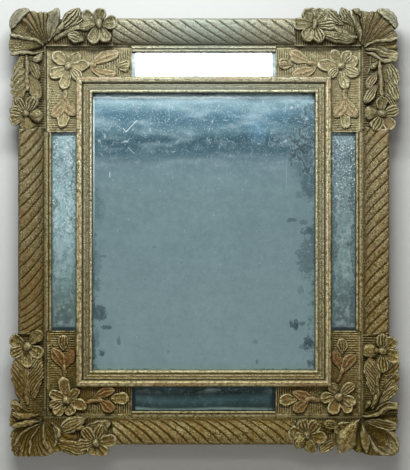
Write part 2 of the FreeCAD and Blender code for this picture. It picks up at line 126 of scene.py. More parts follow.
def tint(hexColour):
    # sRGB hex to linear
    parts = [int(hexColour[i:i + 2], 16) / 255 for i in (1, 3, 5)]
    return [p / 12.92 if p <= 0.04045 else ((p + 0.055) / 1.055) ** 2.4 for p in parts] + [1.0]


def fillSockets(tree, node, inputs):
    # Links each socket, or sets its number or hex colour
    for name, value in inputs.items():
        if isinstance(value, bpy.types.NodeSocket):
            tree.links.new(value, node.inputs[name])
        else:
            node.inputs[name].default_value = tint(value) if isinstance(value, str) else value


def addNode(tree, name, *values, out=None, **settings):
    # Adds a node with its settings, fills its sockets in turn and gives its output
    kind, sockets, given, fixed = nodeKinds[name]
    node = tree.nodes.new("ShaderNode" + kind)
    for key, value in {**fixed, **settings}.items():
        setattr(node, key, value)
    fillSockets(tree, node, dict(zip(sockets, values)))
    return node.outputs[given if out is None else out]


def newMaterial(name):
    # A material, with the calls that add a node to it and fill its shader
    material = bpy.data.materials.new(name)
    material.use_nodes = True
    tree = material.node_tree
    return material, partial(addNode, tree), partial(fillSockets, tree, tree.nodes["Principled BSDF"])


# Aged water gilding: gold leaf over red bole and gesso on carved wood. It gives a soft olive gold, paler and
# greyer higher up as a painted glare of the light from above, with paler rubbed ridges that are partly
# painted highlights, red-brown where the leaf is gone, dark dirt and painted shade in the hollows.
gildingLook = {
    "leafDeep": "#48370b", "leaf": "#8a6e2b", "leafPale": "#d8c68e", "bole": "#783b18",
    "glareDeep": "#5e5534", "glareLeaf": "#98906a", "glarePale": "#e4dcba", "glareBole": "#c28c68",
    "olive": "#4b4219", "gesso": "#d6cca6", "grimeAndShade": "#2a1e08", "bare": "#a1a99c", "rawWood": "#54402b",
    "veil": "#948d6c", "patchMm": 30, "mottleMm": 4.5, "grainMm": 2.0, "hollowMm": 11, "creaseMm": 4,
    "metallic": 0.62, "specular": 0.03, "glareFrom": -0.05, "glareTo": 0.3}
# Marks that each carved shell carries: grime with painted shade, bole, wear with painted highlights, bare
# grey wood (a painted glare on the top mouldings), ungilded wood behind
shellMarks = ("grimeAndShade", "bole", "worn", "grey", "raw")


def gildedWood(look):
    material, add, surface = newMaterial("aged water gilding")
    place = add("place")
    patch = add("noise", place, 1000 / look["patchMm"], 3.0, 0.55)
    mottle = add("noise", place, 1000 / look["mottleMm"], 4.0, 0.6)
    grain = add("noise", place, 1000 / look["grainMm"], 2.0, 0.55)
    marks = {name: add("mark", attribute_name=name) for name in (*shellMarks, "dusted")}
    # Occlusion darkens creases and hollows: painted shade
    clear, close = add("openness", look["hollowMm"] / 1000), add("openness", look["creaseMm"] / 1000)
    hollow = add("larger", add("ramp", clear, 0.86, 0.3, 0.0, 0.75), add("ramp", close, 0.72, 0.35))
    # Pointiness finds ridges, which are painted paler: wear and painted highlight
    ridge = add("ramp", add("geometry"), 0.503, 0.545)
    ridge = add("times", ridge, add("ramp", marks["bole"], 0.2, 1.0, 1.0, 0.55))
    # Paler, greyer colours towards the top of the frame: painted glare of the light from above
    topGlare = add("ramp", add("axes", place), look["glareFrom"], look["glareTo"])
    deep, leaf, pale, bole = [add("mix", topGlare, look[low], look[high]) for low, high in (
        ("leafDeep", "glareDeep"), ("leaf", "glareLeaf"), ("leafPale", "glarePale"), ("bole", "glareBole"))]
    # Leaf in large, middling and fine patches, with glints, then bole where it is gone
    tone = add("plus", add("ramp", patch, 0.36, 0.64, 0.0, 0.25), add("ramp", mottle, 0.38, 0.62, 0.0, 0.35))
    tone = add("plus", tone, add("ramp", grain, 0.4, 0.6, 0.0, 0.4))
    colour = add("mix", tone, deep, leaf)
    glint = add("times", add("ramp", grain, 0.53, 0.64, 0.0, 0.65), add("ramp", patch, 0.58, 0.46))
    colour = add("mix", glint, colour, pale)
    bare = add("times", marks["bole"], add("ramp", mottle, 0.4, 0.56, 0.1, 1.0), use_clamp=True)
    bare = add("plus", bare, add("ramp", patch, 0.62, 0.74, 0.0, 0.5), use_clamp=True)
    flecks = add("times", add("ramp", grain, 0.56, 0.64, 0.0, 0.6), add("ramp", patch, 0.45, 0.6))
    bare = add("larger", bare, flecks)
    colour = add("mix", bare, colour, bole)
    # Rubbed ridges and rims, wear with painted highlights; bare grey wood, a painted glare on the top
    # mouldings; gesso on the rubbed ridges, partly a painted highlight
    wearAndHighlight = add("plus", ridge, marks["worn"], use_clamp=True)
    wearAndHighlight = add("times", wearAndHighlight, add("ramp", mottle, 0.38, 0.58, 0.2, 1.0))
    colour = add("mix", add("power", wearAndHighlight, 1.4), colour, pale)
    grey = add("times", marks["grey"], add("ramp", mottle, 0.36, 0.56, 0.5, 1.0))
    colour = add("mix", grey, colour, look["bare"])
    chalk = add("times", add("times", ridge, wearAndHighlight), add("ramp", grain, 0.48, 0.58))
    colour = add("mix", chalk, colour, look["gesso"])
    # Painted shade and dirt in hollows and creases, an olive painted shade in wide hollows, and dark specks,
    # except under a veil of dust
    clean = add("ramp", marks["dusted"], 0.0, 0.5, 1.0, 0.15)
    colour = add("mix", add("times", add("ramp", clear, 0.95, 0.55, 0.0, 0.6), clean), colour, look["olive"])
    dirt = add("larger", add("times", marks["grimeAndShade"], 0.9, use_clamp=True), hollow)
    dirt = add("times", dirt, add("ramp", mottle, 0.3, 0.54, 0.6, 1.0))
    dirt = add("larger", dirt, add("ramp", grain, 0.42, 0.3, 0.0, 0.65))
    dirt = add("times", dirt, clean)
    colour = add("mix", marks["dusted"], add("mix", dirt, colour, look["grimeAndShade"]), look["veil"])
    colour = add("mix", marks["raw"], colour, look["rawWood"])
    covered = add("plus", add("times", dirt, 0.9), add("times", bare, 0.8), use_clamp=True)
    covered = add("plus", covered, marks["dusted"], use_clamp=True)
    covered = add("larger", covered, marks["raw"])
    rough = add("plus", add("ramp", mottle, 0.3, 0.7, 0.22, 0.42), add("times", covered, 0.3))
    relief = add("bump", 0.9, 0.0015, mottle, add("bump", 0.9, 0.001, grain))
    surface({"Base Color": colour, "Metallic": add("times", add("minus", 1.0, covered), look["metallic"]),
             "Specular IOR Level": look["specular"], "Roughness": rough, "Normal": relief})
    return material


gilding = gildedWood(gildingLook)

# Old tin and mercury silvering behind thin glass: a dull blue-grey mirror, paler and darker in bands across
# its height, dark foxing that creeps in from the edges, pale specks and hairline scratches. On the bottom
# strip the dark bands are a painted dark reflection. Lengths are in millimetres.
# Bands: height from the bottom, and colour. Fox: reach from the left, right, top and bottom edge. Spots,
# flaked and tints: x, z, two radii, strength. Lines: both ends of a scratch, width, strength. Stain: dark
# sides, as wide as stainMm. Blotch, streaks, dots and specks: how strongly each shows.
clearPlate = {
    "sway": 0.12, "haze": 0.4, "specks": 0.0, "speckFrom": 0.35, "stain": 0.0, "stainMm": 5.0,
    "scratches": 0.0, "dots": 0.0, "dotMm": 13, "blotch": 0.0, "streaks": 0.2, "paleEdge": 0.0,
    "spots": [], "flaked": [], "tints": [], "lines": []}
plateLooks = {
    "main_plate": {
        "bands": [
            (0.0, "#a8c3c5"), (0.3, "#98b2b5"), (0.5, "#8ca5a8"), (0.68, "#809a9e"), (0.75, "#778f97"),
            (0.785, "#4c6b76"), (0.835, "#365965"), (0.865, "#62848f"), (0.905, "#4d7484"),
            (0.935, "#618695"), (0.96, "#83a3ac"), (0.98, "#a6c5ce"), (1.0, "#9fb8bf")],
        "sway": 0.02, "fox": (10, 15, 4, 4), "foxColour": "#3c4f55", "haze": 0.3, "specks": 0.3,
        "speckFrom": 0.68, "scratches": 0.6, "streaks": 0.5, "paleEdge": 1.0, "dots": 0.6, "blotch": 0.09,
        "spots": [
            (147, 1, 9, 6, 1.0), (126, 16, 8, 3, 0.9), (141, 13, 5, 4, 0.7), (147, -38, 14, 27, 0.75),
            (137, -82, 4, 6, 0.5), (124, -131, 3, 5, 0.9), (130, -133, 4, 7, 1.0), (139, -131, 4, 4, 0.8),
            (149, -159, 7, 10, 1.0), (139, -163, 4, 4, 0.6), (72, -156, 5, 3, 0.4), (75, -184, 2, 3, 0.7),
            (149, 64, 12, 18, 0.85), (136, 52, 8, 5, 0.6), (-143, -35, 5, 2, 0.6), (-151, -75, 5, 10, 0.7),
            (-147, -114, 9, 11, 0.95), (-138, -136, 8, 3, 0.9), (-120, -154, 2.5, 6, 0.7),
            (-145, -171, 5, 5, 0.9), (-151, -150, 4, 14, 0.6), (-150, 35, 9, 22, 0.5),
            (-151, -45, 6, 20, 0.5)],
        "flaked": [(143, 122, 28, 62, 0.95), (152, 78, 16, 40, 0.8), (-152, 40, 8, 30, 0.4)],
        "tints": [(79, 152, 24, 30, 0.42, "#7cb0cf")],
        "lines": [
            (-114, 146, -110, 141, 1.3, 0.9), (-110, 141, -95, 157, 1.4, 0.9),
            (-133, 84, -133, 77, 1.6, 0.8), (118, 114, 117, 62, 0.9, 0.18),
            (-107, 119, -98, 110, 1.0, 0.6), (-88, 153, -60, 141, 0.8, 0.25),
            (-40, 124, -32, 134, 0.8, 0.3), (8, 148, 16, 162, 0.8, 0.3)]},
    "border_plate_top": {
        "bands": [(0.0, "#d9e6e6"), (1.0, "#f2f5f4")], "fox": (6, 3, 2, 2), "foxColour": "#9db3b3",
        "haze": 0.2, "streaks": 0.0},
    # Bottom strip: its dark bands paint the reflection of the dark surroundings below it
    "border_plate_bottom": {
        "bands": [
            (0.0, "#33463f"), (0.08, "#94b2af"), (0.17, "#2c413d"), (0.45, "#466566"), (0.7, "#1a2a27"),
            (1.0, "#2d4138")],
        "sway": 0.16, "fox": (4, 12, 3, 3), "foxColour": "#1c2b2a", "haze": 0.3, "scratches": 0.4,
        "streaks": 0.6, "blotch": 0.08, "spots": [(62, -241, 26, 9, 0.4)]},
    "border_plate_left": {
        "bands": [
            (0.0, "#667b78"), (0.12, "#70877f"), (0.22, "#8ba7a4"), (0.4, "#9fbabc"), (0.55, "#b4d1d2"),
            (0.75, "#9ab5b8"), (1.0, "#9fb6b9")],
        "fox": (9, 10, 4, 6), "foxColour": "#4d6665", "haze": 0.42, "specks": 0.8, "stain": 0.75,
        "blotch": 0.5, "spots": [(-180, -34, 7, 7, 0.4), (-186, -78, 6, 9, 0.35), (-179, 42, 5, 12, 0.3)]},
    "border_plate_right": {
        "bands": [
            (0.0, "#637572"), (0.17, "#718583"), (0.3, "#92a9a7"), (0.6, "#8da2a2"), (0.85, "#788f94"),
            (1.0, "#879ca0")],
        "fox": (11, 12, 4, 5), "foxColour": "#485c5d", "specks": 1.0, "speckFrom": 0.55, "stain": 0.85,
        "stainMm": 8.0, "scratches": 0.2, "blotch": 0.5,
        "spots": [(205, 30, 6, 20, 0.4), (190, -70, 6, 12, 0.4)]}}
# Patterns in the silvering: size in millimetres, detail, stretch along the axes, shift
silverPatterns = {
    "blot": (9, 5.0, (1, 1, 1), 0.0), "crumb": (3.4, 4.0, (1, 1, 1), 1.3),
    "cloud": (45, 3.0, (1, 1, 1), 0.0), "broad": (60, 2.0, (1, 1, 1), 0.5),
    "sway": (30, 4.0, (0.35, 1, 1), 0.0), "wisp": (18, 5.0, (1, 1, 0.5), 0.4),
    "streak": (16, 6.0, (0.3, 1, 1), 0.9), "curl": (24, 3.0, (1, 1, 1), 1.7),
    "hair": (16, 1.0, (1, 1, 1), 0.3), "fineHair": (11, 2.0, (1, 1, 1), 2.3),
    "hairBreak": (9, 2.0, (1, 1, 1), 0.7), "wave": (20, 6.0, (1, 1, 1), 0.2),
    "grit": (2.3, 2.0, (1, 1, 1), 0.0), "ripple": (60, 1.0, (1, 1, 1), 0.0)}


def oldMirror(node, look):
    material, add, surface = newMaterial("old tin silvering " + node)
    place = add("place")
    x, z = add("axes", place, out="X"), add("axes", place)
    noise = {}
    for name, (sizeMm, detail, stretch, shift) in silverPatterns.items():
        noise[name] = add("noise", add("mapped", place, (shift, 0, 0), stretch), 1000 / sizeMm, detail)
    blot, crumb, streak = noise["blot"], noise["crumb"], noise["streak"]

    def squares(a, b):
        # Sum of two squares
        return add("plus", add("times", a, a), add("times", b, b))

    def awayFrom(spotX, spotZ, radiusX, radiusZ):
        # Square of the distance from a spot, 1 on its oval
        return squares(add("over", add("minus", x, spotX / 1000), radiusX / 1000),
                       add("over", add("minus", z, spotZ / 1000), radiusZ / 1000))

    hidden = 0.0065 if node == "main_plate" else 0.004       # rim of the plate that the mouldings cover
    low, high = (edge / 1000 for edge in spanOf(node))
    left, bottom = float(low[0]) + hidden, float(low[2]) + hidden
    right, top = float(high[0]) - hidden, float(high[2]) - hidden
    edges = [add("minus", x, left), add("minus", right, x), add("minus", top, z), add("minus", z, bottom)]
    height = add("ramp", z, bottom, top)
    upper = add("ramp", height, 0.7, 0.85, 0.12, 1.0)

    # Bands by height, tints, streaks and blotches
    sway = add("times", add("minus", noise["sway"], 0.5), look["sway"] * 2)
    colour = add("bands", add("plus", height, sway))
    stops = colour.node.color_ramp.elements
    while len(stops) < len(look["bands"]):
        stops.new(0.5)
    for stop, (position, hexColour) in zip(stops, look["bands"]):
        stop.position, stop.color = position, tint(hexColour)
    colour = add("mix", add("ramp", noise["cloud"], 0.4, 0.75, 0.0, 0.16), colour, "#6f8688")
    for spotX, spotZ, radiusX, radiusZ, strength, hexColour in look["tints"]:
        wisp = add("ramp", noise["wisp"], 0.35, 0.6, 0.9, -0.1)
        away = add("plus", awayFrom(spotX, spotZ, radiusX, radiusZ), wisp)
        colour = add("mix", add("ramp", away, 1.0, 0.0, 0.0, strength), colour, hexColour)
    veil = add("times", upper, look["streaks"])
    colour = add("mix", add("times", add("ramp", streak, 0.5, 0.72), veil), colour, "#c6dbe2")
    colour = add("mix", add("times", add("ramp", streak, 0.48, 0.3), veil), colour, "#3f606e")
    if look["blotch"]:
        worn = add("plus", add("times", blot, 0.6), add("times", crumb, 0.4))
        dark, pale = add("ramp", worn, 0.49, 0.38), add("ramp", worn, 0.52, 0.64)
        colour = add("mix", add("times", dark, look["blotch"]), colour, look["foxColour"])
        colour = add("mix", add("times", pale, look["blotch"]), colour, "#cfe0e0")

    # Foxing from the edges and in spots, then flaked silvering
    near = add("ramp", edges[0], 0.0, look["fox"][0] / 1000, 1.0, 0.0)
    for edge, reach in zip(edges[1:], look["fox"][1:]):
        near = add("larger", near, add("ramp", edge, 0.0, reach / 1000, 1.0, 0.0))
    near = add("times", near, add("ramp", noise["broad"], 0.35, 0.65, 0.35, 1.0))
    crumbs = add("plus", add("times", blot, 0.7), add("times", crumb, 0.3))
    fox = add("times", add("ramp", add("plus", crumbs, add("times", near, 0.36)), 0.63, 0.77), 0.9)
    for spotX, spotZ, radiusX, radiusZ, strength in look["spots"]:
        away = awayFrom(spotX, spotZ, radiusX, radiusZ)
        ragged = add("plus", away, add("ramp", blot, 0.3, 0.7, 0.9, -0.8))
        ragged = add("plus", ragged, add("ramp", crumb, 0.3, 0.7, 0.8, -0.6))
        fox = add("larger", fox, add("ramp", ragged, 1.5, 0.8, 0.0, strength))
    fox = add("times", fox, add("ramp", crumb, 0.4, 0.65, 1.0, 0.75))
    colour = add("mix", fox, colour, look["foxColour"])
    for spotX, spotZ, radiusX, radiusZ, strength in look["flaked"]:
        away = awayFrom(spotX, spotZ, radiusX, radiusZ)
        part = add("plus", away, add("ramp", blot, 0.3, 0.7, 0.4, -0.4))
        part = add("ramp", part, 1.0, 0.3, 0.0, strength)
        curl = add("unsigned", add("minus", noise["curl"], 0.5))
        colour = add("mix", add("times", part, 0.6), colour, "#4d6368")
        colour = add("mix", add("times", part, add("ramp", curl, 0.075, 0.05, 0.0, 0.45)), colour, "#93b0b8")
        colour = add("mix", add("times", part, add("ramp", curl, 0.05, 0.018, 0.0, 0.75)), colour, "#22343a")

    # Hairlines and single scratches: the distance from the nearest point of a line
    if look["scratches"]:
        hair = add("unsigned", add("minus", noise["hair"], 0.5))
        hair = add("smaller", hair, add("unsigned", add("minus", noise["fineHair"], 0.52)))
        hair = add("times", add("ramp", hair, 0.011, 0.003), add("ramp", noise["hairBreak"], 0.48, 0.62))
        colour = add("mix", add("times", add("times", hair, upper), look["scratches"]), colour, "#d5e4e8")
    for fromX, fromZ, toX, toZ, wide, strength in look["lines"]:
        runX, runZ = (toX - fromX) / 1000, (toZ - fromZ) / 1000
        offX, offZ = add("minus", x, fromX / 1000), add("minus", z, fromZ / 1000)
        along = add("plus", add("times", offX, runX), add("times", offZ, runZ))
        along = add("over", along, runX ** 2 + runZ ** 2, use_clamp=True)
        away = squares(add("minus", offX, add("times", along, runX)),
                       add("minus", offZ, add("times", along, runZ)))
        half = wide / 2000
        line = add("ramp", away, half ** 2, (0.4 * half) ** 2, 0.0, strength)
        colour = add("mix", line, colour, "#e6f0f2")

    # Dots, pale line inside the left and top edge, stain along the sides, grit, dark rim
    if look["dots"]:
        dot = add("cells", place, 1000 / look["dotMm"])
        colour = add("mix", add("ramp", dot, 0.075, 0.035, 0.0, look["dots"]), colour, "#e6f0f0")
    if look["paleEdge"]:
        lip = add("smaller", edges[0], add("plus", edges[2], add("ramp", blot, 0.3, 0.7, -0.0062, -0.003)))
        lip = add("times", add("ramp", lip, 0.0005, 0.0012), add("ramp", lip, 0.0034, 0.0022))
        lip = add("times", add("times", lip, add("ramp", height, 0.35, 0.8)), add("ramp", x, 0.12, 0.02))
        colour = add("mix", add("times", lip, look["paleEdge"]), colour, "#dcebec")
    if look["stain"]:
        wave = add("ramp", noise["wave"], 0.3, 0.7, 0.008, -0.008)
        inwards = add("plus", add("smaller", edges[0], edges[1]), wave)
        line = look["stainMm"] / 1000
        stain = add("ramp", inwards, line, line - 0.002)
        stain = add("times", stain, add("ramp", crumb, 0.35, 0.65, 1.0, 0.45))
        colour = add("mix", add("ramp", inwards, line + 0.0016, line, 0.0, 0.15), colour, "#dceaea")
        colour = add("mix", add("times", stain, look["stain"]), colour, look["foxColour"])
    if look["specks"]:
        lit = add("ramp", height, look["speckFrom"], look["speckFrom"] + 0.2, 0.05, look["specks"])
        dark = add("ramp", noise["grit"], 0.45, 0.34, 0.0, 0.5)
        bright = add("ramp", noise["grit"], 0.58, 0.7)
        colour = add("mix", add("times", dark, lit), colour, look["foxColour"])
        colour = add("mix", add("times", bright, lit), colour, "#f2f7f6")
    # Thin dark rim at the plate's edges: painted shadow of the mouldings' lips, with dirt at the glass edge
    rim = add("smaller", add("smaller", edges[0], edges[1]), add("smaller", edges[2], edges[3]))
    colour = add("mix", add("ramp", rim, 0.0013, 0.0003, 0.0, 0.8), colour, "#20282a")
    surface({"Base Color": colour, "Metallic": 0.75, "Coat Weight": 0.25, "Coat Roughness": 0.06,
             "Roughness": add("plus", look["haze"], add("times", fox, 0.2), use_clamp=True),
             "Normal": add("bump", 0.1, 0.002, noise["ripple"])})
    return material


# Old planed pine, darkened in the open: straight grain along each piece, with greyed streaks
pineLook = {
    "light": "#7d5f3f", "dark": "#4b3622", "grey": "#6e6252", "grainMm": 3.2, "longMm": 110,
    "dustMm": 35.714}
# Cleft oak pegs, and forged iron with a little rust
oakLook = {"light": "#6b4d2f", "dark": "#3c2917", "grainMm": 1.2}
ironLook = {"scale": "#2b2826", "bare": "#4a4541", "rust": "#5b3620", "pitMm": 2.5, "rustMm": 8.3333}


def agedPine(name, grainAxis, look):
    material, add, surface = newMaterial(name)
    place = add("place")
    stretch = [1000 / look["grainMm"]] * 3
    stretch[grainAxis] = 1000 / look["longMm"]
    along = add("mapped", place, (0, 0, 0), stretch)
    grain, year = add("noise", along, 1.0, 5.0), add("noise", along, 0.22, 2.0)
    dust = add("noise", place, 1000 / look["dustMm"], 5.0)
    colour = add("mix", add("ramp", grain, 0.35, 0.65), look["dark"], look["light"])
    colour = add("mix", add("ramp", year, 0.45, 0.75, 0.0, 0.6), colour, look["dark"])
    colour = add("mix", add("ramp", dust, 0.45, 0.7, 0.0, 0.7), colour, look["grey"])
    surface({"Base Color": colour, "Roughness": 0.72, "Normal": add("bump", 0.45, 0.0006, grain)})
    return material


def cleftOak(look):
    material, add, surface = newMaterial("cleft oak")
    grain = add("noise", add("place"), 1000 / look["grainMm"], 4.0)
    colour = add("mix", grain, look["dark"], look["light"])
    surface({"Base Color": colour, "Roughness": 0.65, "Normal": add("bump", 0.5, 0.0004, grain)})
    return material


def forgedIron(look):
    material, add, surface = newMaterial("forged iron")
    place = add("place")
    pits = add("noise", place, 1000 / look["pitMm"], 5.0)
    rust = add("ramp", add("noise", place, 1000 / look["rustMm"], 3.0), 0.5, 0.68)
    colour = add("mix", rust, add("mix", pits, look["scale"], look["bare"]), look["rust"])
    surface({"Base Color": colour, "Metallic": add("ramp", rust, 0.0, 1.0, 0.85, 0.1),
             "Roughness": add("ramp", rust, 0.0, 1.0, 0.5, 0.85), "Normal": add("bump", 0.5, 0.0004, pits)})
    return material


plates = {node: oldMirror(node, {**clearPlate, **look}) for node, look in plateLooks.items()}
uprightPine = agedPine("aged pine upright", 2, pineLook)
levelPine = agedPine("aged pine level", 0, pineLook)
finishes = {"oak_pins": cleftOak(oakLook), "wrought_iron": forgedIron(ironLook), "gilded_wood": gilding}
for entry in frame["record"]["subparts"]:
    node, slot = entry["node"], entry["material_slot"]
    finish = plates.get(node) or finishes.get(slot)
    if slot == "back_pine":
        finish = levelPine if node.endswith(("_top", "_bottom")) else uprightPine
    if finish:
        cadNodes[node].data.materials.clear()
        cadNodes[node].data.materials.append(finish)
print("materials made")


# Meshes: a shell is a grid of points whose rows are closed rings, with its marks at each point. Lengths of
# the mesh settings are in metres.
meshLook = {"merge": 2e-6, "slender": 1e-6, "sharpAngle": 42}


def shellOf(points, capped, *marks):
    # Marks come in their order, and those left out are nought
    given = dict(zip(shellMarks, marks))
    shell = {key: np.broadcast_to(given.get(key, 0.0), points.shape[:2]) for key in shellMarks}
    return {"points": points, "capped": capped, **shell}


def makePiece(node, shells, dull=0.0, dusted=0.0):
    # Joins shells into one mesh that stands for a node: dull is the least grime and painted shade, dusted the
    # veil of dust
    name = node + "_carved"
    points, faces, start = [], [], 0
    for shell in shells:
        rows, ring = shell["points"].shape[:2]
        index = np.arange(rows * ring).reshape(rows, ring) + start
        after = np.roll(index, -1, axis=1)
        faces += np.stack([index[:-1], after[:-1], after[1:], index[1:]], -1).reshape(-1, 4).tolist()
        if shell["capped"]:
            faces += [index[0][::-1].tolist(), index[-1].tolist()]
        points.append(shell["points"].reshape(-1, 3))
        start += rows * ring
    mesh = bpy.data.meshes.new(name)
    mesh.from_pydata(np.concatenate(points) * 0.001, [], faces)
    for key in shellMarks:
        values = np.concatenate([shell[key].ravel() for shell in shells]).astype(np.float32)
        values = np.maximum(values, dull) if key == "grimeAndShade" else values
        mesh.attributes.new(key, "FLOAT", "POINT").data.foreach_set("value", values)
    veil = np.full(start, dusted, np.float32)
    mesh.attributes.new("dusted", "FLOAT", "POINT").data.foreach_set("value", veil)
    work = bmesh.new()
    work.from_mesh(mesh)
    bmesh.ops.remove_doubles(work, verts=work.verts, dist=meshLook["merge"])
    bmesh.ops.dissolve_degenerate(work, edges=work.edges, dist=meshLook["slender"])
    bmesh.ops.recalc_face_normals(work, faces=work.faces)
    work.to_mesh(mesh)
    work.free()
    mesh.shade_smooth()
    mesh.set_sharp_from_angle(angle=math.radians(meshLook["sharpAngle"]))
    mesh.materials.append(gilding)
    piece = bpy.data.objects.new(name, mesh)
    scene.collection.objects.link(piece)
    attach(piece, "frame")
    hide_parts(node)


def handWobble(along, seed, reach):
    # Slow unevenness of handwork: three sines of unlike lengths
    return reach * (np.sin(along / 17.0 + seed) + 0.7 * np.sin(along / 7.3 + 2.1 * seed)
                    + 0.5 * np.sin(along / 3.1 + 3.7 * seed)) / 2.2


def handCut(p, q, seed, reach=0.5):
    # Gentle waves that leave each outline a little uneven, as a hand-held gouge does
    waveP = np.sin(0.22 * q + 0.13 * p + seed) + 0.6 * np.sin(0.5 * q - 0.27 * p + 2 * seed)
    waveQ = np.sin(0.22 * p - 0.13 * q + 1.7 * seed) + 0.6 * np.sin(0.5 * p + 0.27 * q + 3 * seed)
    return p + reach * waveP, q + reach * waveQ


def easeStep(value):
    # Smooth step from 0 to 1
    value = np.clip(value, 0, 1)
    return value * value * (3 - 2 * value)


# Outer mouldings: stepped fillet, then slanting convex flutes over a quarter-round
outerLook = {
    "width": 45.0, "fluted": 35.0, "crestInset": 5.0, "crest": 50.0, "foot": 31.5, "step": 40.5,
    "stepFace": 30.0, "lipBack": 24.4, "tongue": 41.0, "back": 20.0, "softEdge": 0.6,
    "pitch": {"top": 18.2, "right": 16.2, "bottom": 15.4, "left": 16.8},
    "slant": {"top": 1.45, "right": 0.98, "bottom": 1.14, "left": 1.02},
    "shift": {"top": 5.2, "right": 0.0, "bottom": -2.8, "left": -2.4}, "curve": 0.009, "crowdFrom": 85.0,
    "crowd": {"top": 0.0, "right": 0.0, "bottom": 0.0, "left": 0.0006},
    "grey": {"top": 1.0, "right": 0.08, "bottom": 0.0, "left": 0.08}, "fall": 0.15, "cut": 1.6,
    "line": 1.1, "dull": {"top": 0.22, "right": 0.37, "bottom": 0.42, "left": 0.55},
    "bole": {"top": 0.2, "right": 0.22, "bottom": 0.12, "left": 0.12}, "stations": 900, "under": 3.0,
    "armAcross": 138.5, "armDown": 160.0, "panelGap": 0.4, "underPanel": 26.0, "wobble": 0.22,
    "lineWide": 0.055, "ease": 8, "spare": 2, "seatGap": 0.4}


def outerSection(look):
    # Closed section of (inset from the outer edge, depth), with how far the flutes reach each point
    soft, foot, fluted, crest = look["softEdge"], look["foot"], look["fluted"], look["crest"]
    wide, high = fluted - look["crestInset"], crest - foot
    turn = np.linspace(0, np.pi / 2, 34)
    hollow = np.stack([look["crestInset"] + wide * np.cos(turn), foot + high * np.sin(turn)], -1)
    turn = np.linspace(0, np.pi / 2, 9)[1:]
    nose = np.stack([look["crestInset"] * (1 - np.sin(turn)),
                     crest - look["crestInset"] * (1 - np.cos(turn))], -1)
    flank = np.stack([np.zeros(9), np.linspace(crest - look["crestInset"] - 2, look["back"], 9)], -1)
    lip, tongue, step, top = look["width"], look["tongue"], look["step"], look["stepFace"]
    under = np.array([(tongue, look["back"]), (tongue, look["lipBack"]), (lip, look["lipBack"]),
                      (lip, top - 1.2), (lip - 0.4, top - 0.4), (lip - 1.3, top), (lip - 2.4, top),
                      (lip - 3.2, top - 0.5), (step + 0.7, top - 1.0), (step, top - 1.0), (step, foot - soft),
                      (step - soft, foot), (fluted + 2, foot), (fluted + 0.6, foot - 0.3)])
    section = np.concatenate([under, hollow, nose, flank])
    reach = np.concatenate([np.zeros(len(under)), easeStep((fluted - hollow[:, 0]) / 2.5),
                            0.2 + 0.8 * easeStep(nose[:, 0] / look["crestInset"]),
                            0.2 * easeStep((flank[:, 1] - 33) / 9)])
    return section, reach


def outerMoulding(side, look):
    # The section carried along the side to its mitres; each flute sinks the face along the section's normal
    turn, run = sides[side][:2]
    section, reach = outerSection(look)
    tangent = np.roll(section, -1, axis=0) - np.roll(section, 1, axis=0)
    normal = np.stack([tangent[:, 1], -tangent[:, 0]], -1)
    normal /= np.linalg.norm(normal, axis=-1, keepdims=True)
    inset, depth = section[None, :, 0], section[None, :, 1]
    offset = frameBand - inset
    share = np.linspace(-1, 1, look["stations"])[:, None]
    along = share * (run + offset)
    arm = look["armAcross"] if side in ("top", "bottom") else look["armDown"]
    clear = run + frameBand - arm
    sweep = inset + look["curve"] * inset * (inset - look["fluted"])
    phase = along - look["slant"][side] * sweep - look["fall"] * (look["crest"] - depth)
    phase = (phase + clear + look["shift"][side]) / look["pitch"][side]
    phase = phase - look["crowd"][side] * np.maximum(-along - look["crowdFrom"], 0) ** 2
    phase = phase + 0.06 * np.sin(1.9 * phase + turn) + 0.02 * np.sin(0.21 * inset + turn)
    across = 2 * (phase - np.floor(phase)) - 1
    bulge = np.sqrt(1 - np.abs(across) ** 3)
    line = np.exp(-((1 - np.abs(across)) / look["lineWide"]) ** 2)
    sink = (look["cut"] * (1 - bulge) + look["line"] * line) * reach
    sink = sink + handWobble(along + 40 * turn, turn, look["wobble"]) * (reach > 0)
    inset = inset - normal[None, :, 0] * sink
    depth = depth - normal[None, :, 1] * sink
    past = easeStep((np.abs(along) - clear - look["under"]) / look["ease"])
    free = look["crest"] + look["spare"]                     # above the face; under an ornament, its seat
    depth = np.minimum(depth, free - past * (free - seatDepth + look["seatGap"]))
    panelEnd = run + frameBand - (panelLength + (outerX - farX)) - look["panelGap"]
    besidePanel = (np.abs(along) > panelEnd) & (inset > outerX - farX - look["panelGap"])
    depth = np.where(besidePanel, np.minimum(depth, look["underPanel"]), depth)
    inset = np.maximum(inset, 0)
    # Dark flute lines and furrows: grime with painted shade. Paler flute crests and fillet faces: wear with
    # painted highlights
    grimeAndShade = np.clip(line * reach * 0.8 + 0.25 * (1 - bulge) * reach, 0, 1)
    worn = np.clip(bulge * reach - 0.85, 0, 1) * 2.8 + 0.6 * (reach == 0) * (depth > look["stepFace"] - 1.0)
    points = onSide(side, along, frameBand - inset, depth)
    behind = (section[None, :, 1] < look["back"] + 0.1) * 1.0
    # Grey is bare wood; on the top moulding, strongest at the middle of its run, it is a painted glare of the
    # light above
    grey = look["grey"][side] * (1 - 0.6 * easeStep(np.abs(along) / clear))
    return shellOf(points, True, grimeAndShade, look["bole"][side], worn, grey, behind)


for side in sides:
    makePiece("outer_moulding_" + side, [outerMoulding(side, outerLook)], outerLook["dull"][side])
print("outer mouldings carved")

